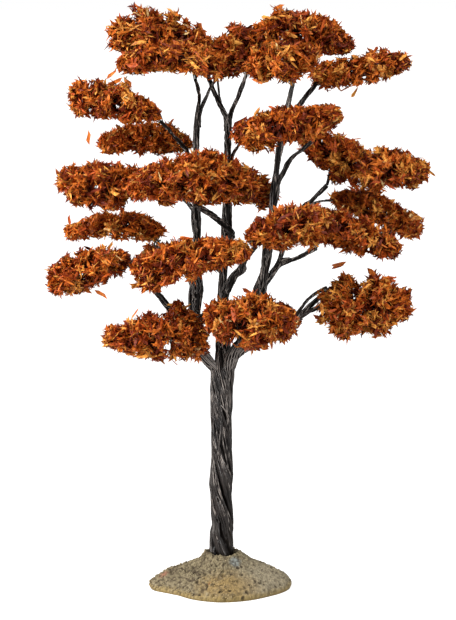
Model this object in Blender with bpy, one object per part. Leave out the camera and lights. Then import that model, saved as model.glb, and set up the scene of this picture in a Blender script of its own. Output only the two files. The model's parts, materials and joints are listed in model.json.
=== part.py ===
"""A scale-model tree for a table-top village: a trunk and boughs of twisted black wire, sleeves of
glued wood chips for foliage, and a cast sandy mound that it all stands on."""

import math
import random

import bmesh
import bpy
import numpy as np

# Driving dimensions, in millimetres. X runs right, Y runs back and Z runs up from the mound's underside.
MM = 0.001
GAP = 0.3  # between any two pieces that touch

BASE_OUTLINE = (  # reach of the mound from the trunk, by direction in degrees, 0 to the right and 90 back
    (-180, 29.1), (-170, 29.4), (-162, 28.6), (-153, 25.6), (-137, 23.4), (-118, 25.2), (-92, 27.0),
    (-70, 26.3), (-45, 25.4), (-10, 27.8), (15, 27.2), (60, 24.5), (115, 24.0), (140, 25.2), (180, 29.1),
)
BASE_FOOT = 0.99  # the underside's outline, as a share of the widest
BASE_SLOPES = (  # how far out from the socket to the outline, and the height on the left and on the right
    (1, 1.3, 1.7),
    (0.96, 2.5, 3.0),
    (0.81, 4.8, 5.1),
    (0.56, 7.0, 7.6),
    (0.33, 8.4, 9.8),
    (0.13, 10.7, 12.6),
    (0, 13.6, 14.0),
)
BASE_WAVE = 0.3  # height of the slope's unevenness
BASE_HEIGHT = 14.2  # at the socket's rim
SOCKET_RADIUS = 5.9
SOCKET_RIM = 7.2
SOCKET_FLOOR = 5.0
BASE_SIDES = 32

TRUNK_FOOT = 9.4  # diameters
TRUNK_WAIST = 8.2
TRUNK_HEAD = 9.4
TRUNK_TOP = 88.0  # height of the fork
TRUNK_STRANDS = 3
TRUNK_PITCH = 87.0  # height of one whole turn of its strands
TRUNK_RIDGE = 0.07  # how far a strand stands out, as a share of the radius
TRUNK_SIDES = 15
TRUNK_RINGS = 17

LIMB_RING_STEP = 7.0  # along a limb, between rings
CURVE_STEPS = 24  # worked out between two given points of a limb
FINE_STEPS = 40  # per ring, when looking for where a limb's root comes clear of its parent
ROOT_CROWDING = 1.4  # over 1 sets a limb's rings closer together towards its root
LEADER_SIDES = 8
BOUGH_SIDES = 6

CORE_SHARE = 0.76  # of a mass's reach that its solid core fills
CORE_END = 0.6  # of its middle's girth that a core's blunt ends keep
CORE_SIDES = 6
CORE_RINGS = 6
CHIPS_PER_MASS = 24
TWIGS_PER_MASS = 4
CHIP_LENGTH = (4.5, 12.0)
CHIP_SLANT = 0.9  # how far a chip may lie along the spine, against out from it
CHIP_ROOT = 0.45  # how far out in the reach a chip is rooted
CHIP_WIDTH = 0.34  # as a share of the length
CHIP_THICKNESS = 0.10
FRINGE = 1.15  # how far chip tips reach past a mass's half height
MOST_TRIES = 200  # at placing a mass's chips
CHIP_CLEARANCE = 0.45  # from a limb
BORDER = 0.12  # kept on each side of the border between two masses, as a share of their reach
NEARBY = 40.0  # limbs and masses further off than this can't meet
STEM_SHARE = 0.75  # of its limb's tip radius
STEM_STEPS = 200  # tried, for where a stem comes clear of its limb
TWIG_RADIUS = (0.7, 0.35)
STATIONS = 13  # along a mass, where its reach is worked out
MERGE = 0.001  # points this close become one after a join
EVEN_SHARE = 0.75487767  # two steps that between them spread chips evenly along and round a mass
EVEN_TURN = 0.56984029 * 2 * math.pi

# The three leaders part at the trunk's head: a line of points, and the diameters at root and tip.
LEADERS = {
    "left_leader": (
        [(-2.6, -1.2, 88), (-7.5, -1, 95.5), (-10.8, 1, 106), (-10, 3, 118), (-10, 4, 150), (-9.7, 4, 189)],
        (4.4, 2.6),
    ),
    "middle_leader": (
        [(0.2, 2.4, 88), (0, 3.5, 107), (0.5, 5.5, 127), (2.4, 6, 152), (2.4, 6, 187.5)],
        (4.6, 2.5),
    ),
    "right_leader": (
        [(2.8, -1.4, 88), (8.5, -2, 96.5), (13.5, -5, 116), (18, -8, 138), (22, -9, 175), (27, -8, 199.5)],
        (4.3, 1.8),
    ),
}

# A bough peels off its parent: the parent, the height or the point where it leaves, the points it
# passes on its way to its tip, and its diameters.
BOUGHS = {
    "bough_low_left": (
        "left_leader", 96.5, [(-20.5, 2, 112), (-26, 1, 120), (-35, -1.5, 130.3)], (3.0, 2.0),
    ),
    "bough_mid_left": ("left_leader", 119, [(-16.5, 8, 128), (-26, 13, 137)], (2.1, 1.6)),
    "bough_far_left": ("bough_mid_left", 131, [(-26, 7, 131.6), (-34, 1, 132)], (1.7, 1.5)),
    "bough_high_left": ("left_leader", 166, [(-14.5, 0, 175), (-23.5, -6, 185.5)], (2.2, 1.6)),
    "bough_big_left": ("left_leader", 150, [(-18.5, 9, 157), (-30, 2, 161)], (2.0, 1.5)),
    "bough_front_left": ("left_leader", 123, [(-11.5, -5, 130.5), (-13.5, -12, 133)], (1.8, 1.4)),
    "bough_bottom_front": ("left_leader", 104.5, [(-6.5, -6, 111.5), (-4, -13, 113.5)], (1.8, 1.4)),
    "bough_top_left_lower": ("left_leader", (-10.8, 4, 189), [(-9.8, 0, 196), (-10, -4, 201)], (1.6, 1.5)),
    "bough_top_middle": ("left_leader", (-8.7, 4, 189), [(-5.2, 5, 196.5), (-1.5, 7, 202)], (1.6, 1.5)),
    "bough_top_left": ("middle_leader", (1.4, 6, 187.5), [(-3.5, 9, 197), (-6, 10.5, 204.5)], (1.7, 1.6)),
    "bough_top_right": ("middle_leader", (3.5, 6, 187.5), [(6.2, 1.5, 193), (11, -3.5, 210)], (1.7, 1.6)),
    "bough_high_front": ("middle_leader", 162, [(4, -7, 172.5), (7, -17, 178)], (1.8, 1.4)),
    "bough_centre": ("middle_leader", 137, [(0, 0, 146.5), (-7.5, -10, 152.5)], (2.2, 1.6)),
    "bough_front_right": (
        "middle_leader", 113, [(4.6, -1, 125), (8.6, -9, 131), (11, -15, 137.3)], (3.0, 2.0),
    ),
    "bough_cross_right": ("right_leader", 161, [(27, -8, 171.5), (34, -5, 178)], (2.1, 1.7)),
    "bough_high_right": ("right_leader", 183, [(30, -6, 193), (34, 1, 199)], (2.0, 1.6)),
    "bough_big_right": ("right_leader", 120, [(23, -4, 132.5), (31, 0, 152), (39.5, 1, 160)], (2.5, 1.8)),
    "bough_mid_right": ("bough_big_right", 130, [(28, -5, 133), (36.5, -3, 136.8)], (1.9, 1.6)),
    "bough_rear_right": ("bough_big_right", 152, [(38.5, 4, 154), (43.5, 8, 153.8)], (1.3, 1.0)),
    "bough_bottom_right": (
        "right_leader", 94, [(19.5, -4, 103), (31, -6, 111.5), (41.5, -8, 121.5)], (3.2, 2.2),
    ),
    "bough_bottom_right_fork": (
        "bough_bottom_right", 109, [(32.5, -6.6, 111.4), (36, -8, 113.4)], (1.9, 1.7),
    ),
    "bough_back_top": ("bough_top_left", 191, [(-1.5, 17, 198), (-2.5, 26, 206)], (1.2, 1.0)),
    "bough_back_high": ("right_leader", 166, [(23.5, 6, 175), (25.5, 17.5, 179)], (1.7, 1.3)),
    "bough_back_centre": ("middle_leader", 140, [(2, 17, 149), (1, 25, 152.5)], (2.0, 1.5)),
    "bough_back_low": ("middle_leader", 115, [(0, 15, 123), (-3.5, 24.5, 126)], (1.9, 1.4)),
    "bough_back_right": ("right_leader", 127, [(18, 6, 134), (21.5, 16.5, 136.5)], (1.8, 1.4)),
    "bough_back_bottom": ("middle_leader", 94, [(2.5, 10.5, 99.5), (6, 16, 101.5)], (1.8, 1.4)),
}

# A mass of foliage: the limb that carries it, the two ends of its spine, how far the spine's middle
# rises and is pushed back, its half height at each end and between, and its half depth.
MASSES = {
    "foliage_top_left": ("bough_top_left", (-36.5, 8, 220), (-6.5, 8, 211.8), 3.0, 0, (7.2, 9.4, 5.4), 11),
    "foliage_top_left_lower": (
        "bough_top_left_lower", (-36.5, -9, 207.6), (-4, -8, 207.5), 2.6, 0, (3.6, 5.0, 5.6), 11,
    ),
    "foliage_top_middle": ("bough_top_middle", (3, 10, 212), (10, 11, 215), 0.5, 0, (8.5, 9.6, 8.8), 10),
    "foliage_top_right": ("bough_top_right", (19, 6, 219.7), (47.5, 4, 215.6), 3.2, 1, (6.5, 7.2, 3.2), 11),
    "foliage_top_front": (
        "right_leader", (15.5, -16, 208.3), (35.5, -14, 211.5), -1, -2, (3.8, 7.0, 3.2), 11,
    ),
    "foliage_high_right": (
        "bough_high_right", (39.5, 3, 203), (70.5, 3, 208.5), 0.2, 0, (4.0, 5.8, 3.0), 10,
    ),
    "foliage_high_left": (
        "bough_high_left", (-53.5, -6, 196.3), (-27, -6, 188.5), 0.2, 0, (5.2, 6.3, 2.8), 10,
    ),
    "foliage_rear_left": ("left_leader", (-45, 14, 176.5), (-16, 11, 176.3), 2.8, 1, (3.4, 5.8, 3.6), 9),
    "foliage_high_front": (
        "bough_high_front", (8, -25, 182), (42.3, -21, 188.5), 0, -3.7, (3.4, 6.7, 3.0), 11,
    ),
    "foliage_big_left": (
        "bough_big_left", (-58.5, -4, 162.3), (-35.5, -4, 162), -1.0, 0, (5.8, 8.6, 5.6), 12,
    ),
    "foliage_centre": ("bough_centre", (-31, -15, 162), (16.5, 2, 156.5), 4.8, -11, (4.8, 8.8, 4.3), 13),
    "foliage_big_right": (
        "bough_big_right", (35.5, 8, 177), (75.4, -6, 166.6), -3.1, -1, (5.6, 8.3, 4.8), 13,
    ),
    "foliage_mid_left": (
        "bough_mid_left", (-59.7, 16, 140.8), (-28.3, 14, 142.5), 2.6, 0, (3.0, 4.7, 4.2), 9,
    ),
    "foliage_low_left": ("bough_low_left", (-65, -2, 124.6), (-38.5, -2, 131), 0.0, -2, (5.6, 8.3, 2.8), 12),
    "foliage_front_left": (
        "bough_front_left", (-28.3, -17, 129), (7, -28, 137.5), 1.7, -5, (7.3, 6.6, 4.6), 13,
    ),
    "foliage_front_right": (
        "bough_front_right", (11.3, -21, 142.4), (36, -23, 147.5), 1.3, -4, (3.4, 7.6, 6.5), 12,
    ),
    "foliage_mid_right": ("bough_mid_right", (41, -1, 145), (65.5, -4, 137.3), 1.0, -1, (6.5, 6.0, 4.2), 12),
    "foliage_rear_right": (
        "bough_rear_right", (48, 11, 153.5), (74.7, 12, 144.2), 2.3, 1, (2.8, 5.2, 3.7), 10,
    ),
    "foliage_bottom_right": (
        "bough_bottom_right", (47, -8, 113), (68, -8, 114.6), 0.6, -1, (8.8, 11.9, 7.6), 14,
    ),
    "foliage_bottom_left": (
        "left_leader", (-41.7, -10, 101.6), (-14.5, -12, 103), 0.9, -3, (3.9, 7.6, 8.6), 11,
    ),
    "foliage_bottom_front": (
        "bough_bottom_front", (-0.7, -25, 112.5), (24, -27, 111), 0, -4, (5.6, 9.7, 6.2), 14,
    ),
    "foliage_back_top": ("bough_back_top", (-23, 32, 212), (17, 32, 213), -1.5, 3, (5.5, 5.3, 6.2), 12),
    "foliage_back_high": ("bough_back_high", (13, 26, 181), (42.5, 28, 186.5), 0, 3, (4.5, 5.3, 3.8), 11),
    "foliage_back_centre": (
        "bough_back_centre", (-29, 31, 159.5), (9.5, 34, 158), 1.2, 6, (5.7, 8.2, 5.7), 14,
    ),
    "foliage_back_low": ("bough_back_low", (-29.5, 30, 126), (4, 34, 130.5), 0.9, 4, (6.1, 5.8, 4.4), 13),
    "foliage_back_right": ("bough_back_right", (17, 27, 140), (56, 30, 139.5), 2, 5, (4.3, 6.5, 4.6), 13),
    "foliage_back_bottom": (
        "bough_back_bottom", (1, 27, 104.5), (26, 26, 104), -0.9, 3, (5.7, 8.1, 5.7), 12,
    ),
}

# Finishes: colour, roughness, metallic.
WIRE_FINISH = ((0.028, 0.024, 0.022, 1), 0.42, 0.2)
MOUND_FINISH = ((0.34, 0.30, 0.22, 1), 0.9, 0.0)
CHIP_FINISH = ((0.52, 0.17, 0.035, 1), 0.75, 0.0)
CHIP_TINT_SPREAD = 0.12  # how far one mass's chips may be lighter or darker than another's


def clear_scene():
    for thing in list(bpy.data.objects):
        bpy.data.objects.remove(thing, do_unlink=True)


def material(name, colour, roughness, metallic):
    made = bpy.data.materials.new(name)
    made.use_nodes = True
    shader = made.node_tree.nodes["Principled BSDF"]
    shader.inputs["Base Color"].default_value = colour
    shader.inputs["Roughness"].default_value = roughness
    shader.inputs["Metallic"].default_value = metallic
    return made


def mesh_object(name, points, faces):
    """An object from points in millimetres, its faces turned outwards."""
    mesh = bpy.data.meshes.new(name)
    mesh.from_pydata([tuple(float(v) * MM for v in point) for point in points], [], faces)
    work = bmesh.new()
    work.from_mesh(mesh)
    bmesh.ops.recalc_face_normals(work, faces=work.faces)
    work.to_mesh(mesh)
    work.free()
    made = bpy.data.objects.new(name, mesh)
    bpy.context.scene.collection.objects.link(made)
    return made


def finish(made, look, smooth=True):
    made.data.materials.clear()
    made.data.materials.append(material(made.name, *look))
    if smooth:
        made.data.shade_smooth()
        made.data.set_sharp_from_angle(angle=math.radians(45))


def loft(rings):
    """Points and faces of a skin over equal rings, closed at each end by a fan round the ring's middle."""
    points = [point for ring in rings for point in ring]
    sides = len(rings[0])
    faces = []
    for start in range(0, (len(rings) - 1) * sides, sides):
        for i in range(sides):
            j = (i + 1) % sides
            faces.append((start + i, start + j, start + sides + j, start + sides + i))
    for ring, start in ((rings[0], 0), (rings[-1], (len(rings) - 1) * sides)):
        points.append(np.mean(ring, axis=0))
        faces += [(start + i, start + (i + 1) % sides, len(points) - 1) for i in range(sides)]
    return points, faces


def smooth_line(through, step):
    """Evenly spaced points of a Catmull-Rom curve through the given ones."""
    knots = np.array(through, float)
    ends = [2 * knots[0] - knots[1], *knots, 2 * knots[-1] - knots[-2]]
    fine = []
    for a, b, c, d in zip(ends, ends[1:], ends[2:], ends[3:]):
        for t in np.linspace(0, 1, CURVE_STEPS, endpoint=False):
            square = (2 * a - 5 * b + 4 * c - d) * t**2
            cube = (3 * b - a - 3 * c + d) * t**3
            fine.append(0.5 * (2 * b + (c - a) * t + square + cube))
    fine = np.array([*fine, knots[-1]])
    along = np.concatenate([[0], np.cumsum(np.linalg.norm(np.diff(fine, axis=0), axis=1))])
    places = np.linspace(0, along[-1], max(3, round(along[-1] / step) + 1))
    return np.stack([np.interp(places, along, fine[:, i]) for i in range(3)], axis=1)


def frames_along(line):
    """Two directions square to the line at each of its points, carried along it without twist."""
    headings = np.gradient(line, axis=0)
    headings /= np.linalg.norm(headings, axis=1)[:, None]
    side = np.cross(headings[0], (0.3, 1, 0.1))
    sides, tops = [], []
    for heading in headings:
        side = side - heading * side.dot(heading)
        side /= np.linalg.norm(side)
        sides.append(side)
        tops.append(np.cross(heading, side))
    return np.array(sides), np.array(tops)


class Limb:
    """A tapering limb: the line it follows and its radius there."""

    def __init__(self, line, diameters):
        self.line = line
        self.radius = np.linspace(diameters[0], diameters[1], len(line)) / 2

    def at_height(self, height):
        return np.array([np.interp(height, self.line[:, 2], self.line[:, i]) for i in range(3)])

    def past_tip(self, points):
        """How far each point lies past the plane of the limb's flat tip."""
        heading = self.line[-1] - self.line[-2]
        return (np.atleast_2d(points) - self.line[-1]) @ heading / np.linalg.norm(heading)

    def clearance(self, points):
        """How far each point is from the limb's surface, which ends flat at its tip."""
        points = np.atleast_2d(points)[:, None, :]
        starts, runs = self.line[:-1], np.diff(self.line, axis=0)
        share = ((points - starts) * runs).sum(axis=2) / (runs**2).sum(axis=1)
        inside = np.clip(share, 0, 1)
        feet = starts + inside[:, :, None] * runs
        radius = self.radius[:-1] + inside * np.diff(self.radius)
        away = np.linalg.norm(points - feet, axis=2) - radius
        past = np.maximum(share[:, -1] - 1, 0) * np.linalg.norm(runs[-1])
        across = np.linalg.norm(points[:, 0] - (starts[-1] + share[:, -1, None] * runs[-1]), axis=1)
        flat = np.hypot(past, np.maximum(across - self.radius[-1], 0))
        away[:, -1] = np.where(past > 0, flat, away[:, -1])
        return away.min(axis=1)


def limb_object(name, limb, sides, parent, on_tip):
    """The limb as a tube whose root is shaped to stand off its parent's side or flat tip by the gap."""
    across, up = frames_along(limb.line)
    edges = []
    for i in range(sides + 1):
        turn = 2 * math.pi * i / sides
        reach = limb.radius[:, None] if i < sides else 0
        edge = limb.line + reach * (across * math.cos(turn) + up * math.sin(turn))
        stations = np.linspace(0, len(edge) - 1, FINE_STEPS * len(edge))
        fine = np.stack([np.interp(stations, range(len(edge)), edge[:, k]) for k in range(3)], axis=1)
        free = (parent.past_tip(fine) if on_tip else parent.clearance(fine)) >= GAP
        first = len(free) - np.argmin(free[::-1]) if not free.all() else 0
        start = stations[min(first, len(free) - 2)]
        places = start + (len(edge) - 1 - start) * np.linspace(0, 1, len(edge)) ** ROOT_CROWDING
        edges.append(np.stack([np.interp(places, range(len(edge)), edge[:, k]) for k in range(3)], axis=1))
    rings = [[edge[k] for edge in edges[:-1]] for k in range(len(limb.line))]
    points, faces = loft(rings)
    points[-2] = edges[-1][0]  # the root's middle follows the parent too
    made = mesh_object(name, points, faces)
    finish(made, WIRE_FINISH)
    return made


def base():
    """The cast mound: an uneven outline, a low edge, slopes up to the socket's rim, and the socket."""
    turns = [2 * math.pi * (i + 0.5) / BASE_SIDES - math.pi for i in range(BASE_SIDES)]
    angles, reaches = np.array(BASE_OUTLINE, float).T

    def outline(turn, share):
        """A point of the outline, drawn in towards the socket as share falls from 1 to 0."""
        reach = np.interp(math.degrees(turn), angles, reaches)
        away = SOCKET_RIM + (reach - SOCKET_RIM) * share
        return away * math.cos(turn), away * math.sin(turn)

    rings = [[(*outline(turn, BASE_FOOT), 0) for turn in turns]]
    for share, left, right in BASE_SLOPES:
        ring = []
        for turn in turns:
            rightward = (1 + math.cos(turn)) / 2
            height = left + (right - left) * rightward
            wave = BASE_WAVE * math.sin(5 * turn + 9 * share) * math.sin(math.pi * share)
            ring.append((*outline(turn, share), height + wave))
        rings.append(ring)
    for radius, height in (
        (0.5 * (SOCKET_RIM + SOCKET_RADIUS), BASE_HEIGHT),
        (SOCKET_RADIUS, BASE_HEIGHT - 0.5),
        (SOCKET_RADIUS - 0.2, SOCKET_FLOOR),
    ):
        rings.append([(radius * math.cos(turn), radius * math.sin(turn), height) for turn in turns])
    points, faces = loft(rings)
    finish(mesh_object("mound_base", points, faces), MOUND_FINISH)


def trunk():
    """The trunk: three strands laid up like rope, swelling at the foot and at the fork."""
    foot = SOCKET_FLOOR + GAP
    rings = []
    for level in np.linspace(0, 1, TRUNK_RINGS):
        height = foot + (TRUNK_TOP - foot) * level
        ends = TRUNK_FOOT * (1 - level) + TRUNK_HEAD * level
        waisted = 1 - (2 * level - 1) ** 2
        diameter = ends + (TRUNK_WAIST - 0.5 * (TRUNK_FOOT + TRUNK_HEAD)) * waisted
        ring = []
        for i in range(TRUNK_SIDES):
            turn = 2 * math.pi * i / TRUNK_SIDES
            strand = math.cos(TRUNK_STRANDS * (turn + 2 * math.pi * height / TRUNK_PITCH))
            radius = diameter / 2 * (1 + TRUNK_RIDGE * strand)
            ring.append((radius * math.cos(turn), radius * math.sin(turn), height))
        rings.append(ring)
    points, faces = loft(rings)
    finish(mesh_object("trunk", points, faces), WIRE_FINISH)
    line = np.array([(0, 0, foot), (0, 0, TRUNK_TOP)], float)
    fullest = 1 + TRUNK_RIDGE
    return Limb(line, (TRUNK_FOOT * fullest, TRUNK_HEAD * fullest))


def limbs(trunk_limb):
    """The leaders and boughs, by name."""
    found = {"trunk": trunk_limb}
    for name, (through, diameters) in LEADERS.items():
        found[name] = Limb(smooth_line(through, LIMB_RING_STEP), diameters)
        limb_object(name, found[name], LEADER_SIDES, trunk_limb, True)
    for name, (parent, leaves, onward, diameters) in BOUGHS.items():
        on_tip = isinstance(leaves, tuple)
        root = np.array(leaves) if on_tip else found[parent].at_height(leaves)
        line = smooth_line([root, *onward], LIMB_RING_STEP)
        found[name] = Limb(line, diameters)
        limb_object(name, found[name], BOUGH_SIDES, found[parent], on_tip)
    return found


class Mass:
    """The space a mass of foliage keeps to: an ellipsoid at each station of its curved spine."""

    def __init__(self, start, end, rise, push, half_heights, half_depth):
        self.start, self.end = np.array(start, float), np.array(end, float)
        middle = (self.start + self.end) / 2 + (0, push, rise)
        self.knots = np.array([self.start, middle, self.end])
        self.half_heights = half_heights
        self.half_depth = half_depth
        run = self.end - self.start
        run[2] = 0
        self.ahead = run / np.linalg.norm(run)
        self.aside = np.cross((0, 0, 1), self.ahead)
        shares = np.linspace(0, 1, STATIONS)
        self.centres = np.array([self.spine(share) for share in shares])
        self.reaches = np.array([self.reach(share) for share in shares])

    def spine(self, share):
        a, m, b = self.knots
        return a * (1 - share) * (1 - 2 * share) + m * 4 * share * (1 - share) + b * share * (2 * share - 1)

    def reach(self, share):
        """Half length, half depth and half height of the station's ellipsoid."""
        a, m, b = self.half_heights
        half = a * (1 - share) * (1 - 2 * share) + m * 4 * share * (1 - share) + b * share * (2 * share - 1)
        depth = self.half_depth * (0.45 + 0.55 * math.sin(math.pi * (0.15 + 0.7 * share)))
        return np.array([half + 0.8, depth, half * FRINGE])

    def fill(self, points):
        """How far out each point is: 0 on the spine, 1 at the edge of the space."""
        points = np.atleast_2d(points)
        away = points[:, None, :] - self.centres
        local = np.stack([away @ self.ahead, away @ self.aside, away[:, :, 2]], axis=2)
        return np.linalg.norm(local / self.reaches, axis=2).min(axis=1)

    def outward(self, share, turn, lean):
        """A unit direction out of the spine: turn goes round it and lean tips it along it."""
        flat = self.aside * math.cos(turn) + np.array((0, 0, 1)) * math.sin(turn)
        away = flat * math.cos(lean) + self.ahead * math.sin(lean)
        return away / np.linalg.norm(away)


def core(name, mass):
    """The solid middle of a dense mass, with an uneven skin."""
    chance = random.Random(name + " core")
    rings = []
    for share in np.linspace(0, 1, CORE_RINGS):
        end = math.sqrt(max(0.0, 1 - abs(2 * share - 1) ** 3))
        ahead, depth, half = mass.reach(share) * CORE_SHARE * (CORE_END + (1 - CORE_END) * end)
        centre = mass.spine(share) + mass.ahead * (2 * share - 1) * ahead
        ring = []
        for i in range(CORE_SIDES):
            turn = 2 * math.pi * (i + 0.5) / CORE_SIDES
            wander = chance.uniform(0.88, 1.08)
            ring.append(
                centre
                + mass.aside * depth * wander * math.cos(turn)
                + np.array((0, 0, 1)) * half * wander * math.sin(turn)
            )
        rings.append(ring)
    return mesh_object(name, *loft(rings))


def blade(root, tip, width, thickness, facing):
    """A flat chip of wood, pointed at both ends: a squashed double pyramid."""
    along = tip - root
    across = np.cross(along, facing)
    across /= np.linalg.norm(across)
    flat = np.cross(across, along)
    flat /= np.linalg.norm(flat)
    waist = root + along * 0.45
    ring = [waist + across * width / 2, waist + flat * thickness / 2]
    ring += [waist - across * width / 2, waist - flat * thickness / 2]
    faces = [(0, 2 + i, 2 + (i + 1) % 4) for i in range(4)] + [(1, 2 + (i + 1) % 4, 2 + i) for i in range(4)]
    return [root, tip, *ring], faces


def twig(root, tip, root_radius, tip_radius):
    """A three-sided tapering twig."""
    line = np.array([root, tip], float)
    across, up = frames_along(line)
    rings = []
    for k, radius in enumerate((root_radius, tip_radius)):
        turns = [2 * math.pi * i / 3 for i in range(3)]
        rings.append([line[k] + radius * (across[k] * math.cos(t) + up[k] * math.sin(t)) for t in turns])
    return loft(rings)


def grow(name, mass, others, found, carrier):
    """The stem, twigs and chips of one mass, each kept in its space and off every limb and neighbour."""
    chance = random.Random(name)
    near = [limb for limb in found.values() if limb.clearance(mass.centres).min() < NEARBY]

    def keeps_clear(points):
        own = mass.fill(points)
        if own.max() > 1 or any(limb.clearance(points).min() < CHIP_CLEARANCE for limb in near):
            return False
        return all((other.fill(points) > own + BORDER).all() for other in others)

    shapes = []
    # The stem starts a gap off its carrier, at the point of it that is nearest, and runs into the core.
    limb = found[carrier]
    apart = np.linalg.norm(limb.line[:, None] - mass.centres, axis=2)
    seat = limb.line[-1] if carrier.startswith("bough") else limb.line[apart.min(axis=1).argmin()]
    target = mass.centres[np.linalg.norm(mass.centres - seat, axis=1).argmin()]
    radius = STEM_SHARE * limb.radius[-1]
    for start in np.linspace(seat, target, STEM_STEPS):
        points, faces = twig(start, target, radius, 0.7 * radius)
        if limb.clearance(points).min() >= GAP:
            break
    shapes.append((points, faces))

    for i in range(TWIGS_PER_MASS):
        share = (i + 0.5) / TWIGS_PER_MASS
        away = mass.outward(share, (2 * i + 0.5) * EVEN_TURN, chance.uniform(-0.5, 0.5))
        root = mass.spine(share)
        reach = 1 / mass.fill(root + away)[0]
        tip = root + away * reach * 0.93
        if keeps_clear(np.linspace(root + 0.6 * (tip - root), tip, 5)):
            shapes.append(twig(root, tip, *TWIG_RADIUS))
    wanted = len(shapes) + CHIPS_PER_MASS
    for i in range(MOST_TRIES):
        if len(shapes) == wanted:
            break
        share = i * EVEN_SHARE % 1
        turn = i * EVEN_TURN
        lean = chance.uniform(-0.5, 0.5) + (share - 0.5) * 2
        away = mass.outward(share, turn, lean)
        start = mass.spine(share)
        root = start + away * CHIP_ROOT / mass.fill(start + away)[0]
        slant = away + mass.ahead * chance.uniform(-CHIP_SLANT, CHIP_SLANT)
        slant /= np.linalg.norm(slant)
        facing = np.array([chance.uniform(-1, 1) for _ in range(3)])
        lengths = np.arange(CHIP_LENGTH[0], CHIP_LENGTH[1], 0.25)
        inside = mass.fill(root + lengths[:, None] * slant) <= chance.uniform(0.93, 1.0)
        if not inside[0]:
            continue
        length = lengths[inside][-1]
        tip = root + slant * length
        if not keeps_clear(np.linspace(root + 0.3 * (tip - root), tip, 7)):
            continue
        shapes.append(blade(root, tip, CHIP_WIDTH * length, CHIP_THICKNESS * length, facing))
    return shapes


def fuse(made, shapes):
    """Joins every shape into the core, then keeps the outer skin of the one body."""
    group = bpy.data.collections.new(made.name + " shapes")
    bpy.context.scene.collection.children.link(group)
    for i, (points, faces) in enumerate(shapes):
        piece = mesh_object(f"{made.name}_{i}", points, faces)
        bpy.context.scene.collection.objects.unlink(piece)
        group.objects.link(piece)
    join = made.modifiers.new("Join", "BOOLEAN")
    join.operation = "UNION"
    join.operand_type = "COLLECTION"
    join.collection = group
    join.solver = "EXACT"
    graph = bpy.context.evaluated_depsgraph_get()
    joined = bpy.data.meshes.new_from_object(made.evaluated_get(graph))
    made.modifiers.remove(join)
    made.data = joined
    joined.name = made.name
    for piece in list(group.objects):
        bpy.data.objects.remove(piece, do_unlink=True)
    bpy.data.collections.remove(group)
    keep_outer_skin(joined)


def keep_outer_skin(mesh):
    """Drops loose scraps and sealed hollows, which are smaller skins apart from the largest."""
    work = bmesh.new()
    work.from_mesh(mesh)
    bmesh.ops.remove_doubles(work, verts=work.verts, dist=MERGE * MM)
    bmesh.ops.triangulate(work, faces=work.faces)
    unseen = set(work.faces)
    skins = []
    while unseen:
        skin, edge = [], [unseen.pop()]
        while edge:
            here = edge.pop()
            skin.append(here)
            for there in {face for side in here.edges for face in side.link_faces} & unseen:
                unseen.remove(there)
                edge.append(there)
        skins.append(skin)
    skins.sort(key=len)
    for skin in skins[:-1]:
        bmesh.ops.delete(work, geom=skin, context="FACES")
    loose = [vert for vert in work.verts if not vert.link_faces]
    bmesh.ops.delete(work, geom=loose, context="VERTS")
    work.to_mesh(mesh)
    work.free()


def foliage(found):
    spaces = {name: Mass(*sizes[1:]) for name, sizes in MASSES.items()}
    for name, mass in spaces.items():
        others = [
            other
            for key, other in spaces.items()
            if key != name and np.linalg.norm(other.centres[:, None] - mass.centres, axis=2).min() < NEARBY
        ]
        made = core(name, mass)
        fuse(made, grow(name, mass, others, found, MASSES[name][0]))
        lighter = random.Random(name + " tint").uniform(1 - CHIP_TINT_SPREAD, 1 + CHIP_TINT_SPREAD)
        (red, green, blue, alpha), roughness, metallic = CHIP_FINISH
        tint = (red * lighter, green * lighter, blue * lighter, alpha)
        finish(made, (tint, roughness, metallic), smooth=False)


clear_scene()
base()
foliage(limbs(trunk()))
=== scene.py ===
import json
import math

import bpy
import numpy as np
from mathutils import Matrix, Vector

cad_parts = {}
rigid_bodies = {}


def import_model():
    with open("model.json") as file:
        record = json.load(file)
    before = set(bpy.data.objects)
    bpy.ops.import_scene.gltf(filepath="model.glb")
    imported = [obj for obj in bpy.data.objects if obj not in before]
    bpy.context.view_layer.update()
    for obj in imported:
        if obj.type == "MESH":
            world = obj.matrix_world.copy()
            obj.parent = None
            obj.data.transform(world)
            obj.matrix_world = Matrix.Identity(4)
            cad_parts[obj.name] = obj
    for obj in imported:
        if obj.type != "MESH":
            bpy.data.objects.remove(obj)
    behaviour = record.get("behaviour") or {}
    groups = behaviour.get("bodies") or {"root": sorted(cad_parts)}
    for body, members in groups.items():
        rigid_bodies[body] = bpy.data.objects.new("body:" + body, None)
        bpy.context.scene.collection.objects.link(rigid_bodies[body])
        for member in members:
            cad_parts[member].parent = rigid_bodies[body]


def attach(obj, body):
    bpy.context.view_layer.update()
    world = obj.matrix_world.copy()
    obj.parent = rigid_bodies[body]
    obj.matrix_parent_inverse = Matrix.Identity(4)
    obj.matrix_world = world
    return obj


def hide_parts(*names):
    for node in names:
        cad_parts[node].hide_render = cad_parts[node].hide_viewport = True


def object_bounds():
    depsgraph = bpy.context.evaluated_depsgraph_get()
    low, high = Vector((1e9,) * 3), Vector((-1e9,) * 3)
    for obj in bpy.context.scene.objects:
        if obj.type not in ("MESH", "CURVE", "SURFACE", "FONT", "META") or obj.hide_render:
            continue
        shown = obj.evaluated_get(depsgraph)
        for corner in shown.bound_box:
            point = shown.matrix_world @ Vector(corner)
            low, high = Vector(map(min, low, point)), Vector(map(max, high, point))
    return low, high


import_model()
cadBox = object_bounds()

mm = 0.001  # every length below is in millimetres until a mesh is made
body = "root"


class Port:  # a node's output, which sums and products can be written on
    def __init__(self, graph, socket):
        self.graph, self.socket = graph, socket

    def other(self, name):  # another output of the same node
        return Port(self.graph, self.socket.node.outputs[name])


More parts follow.
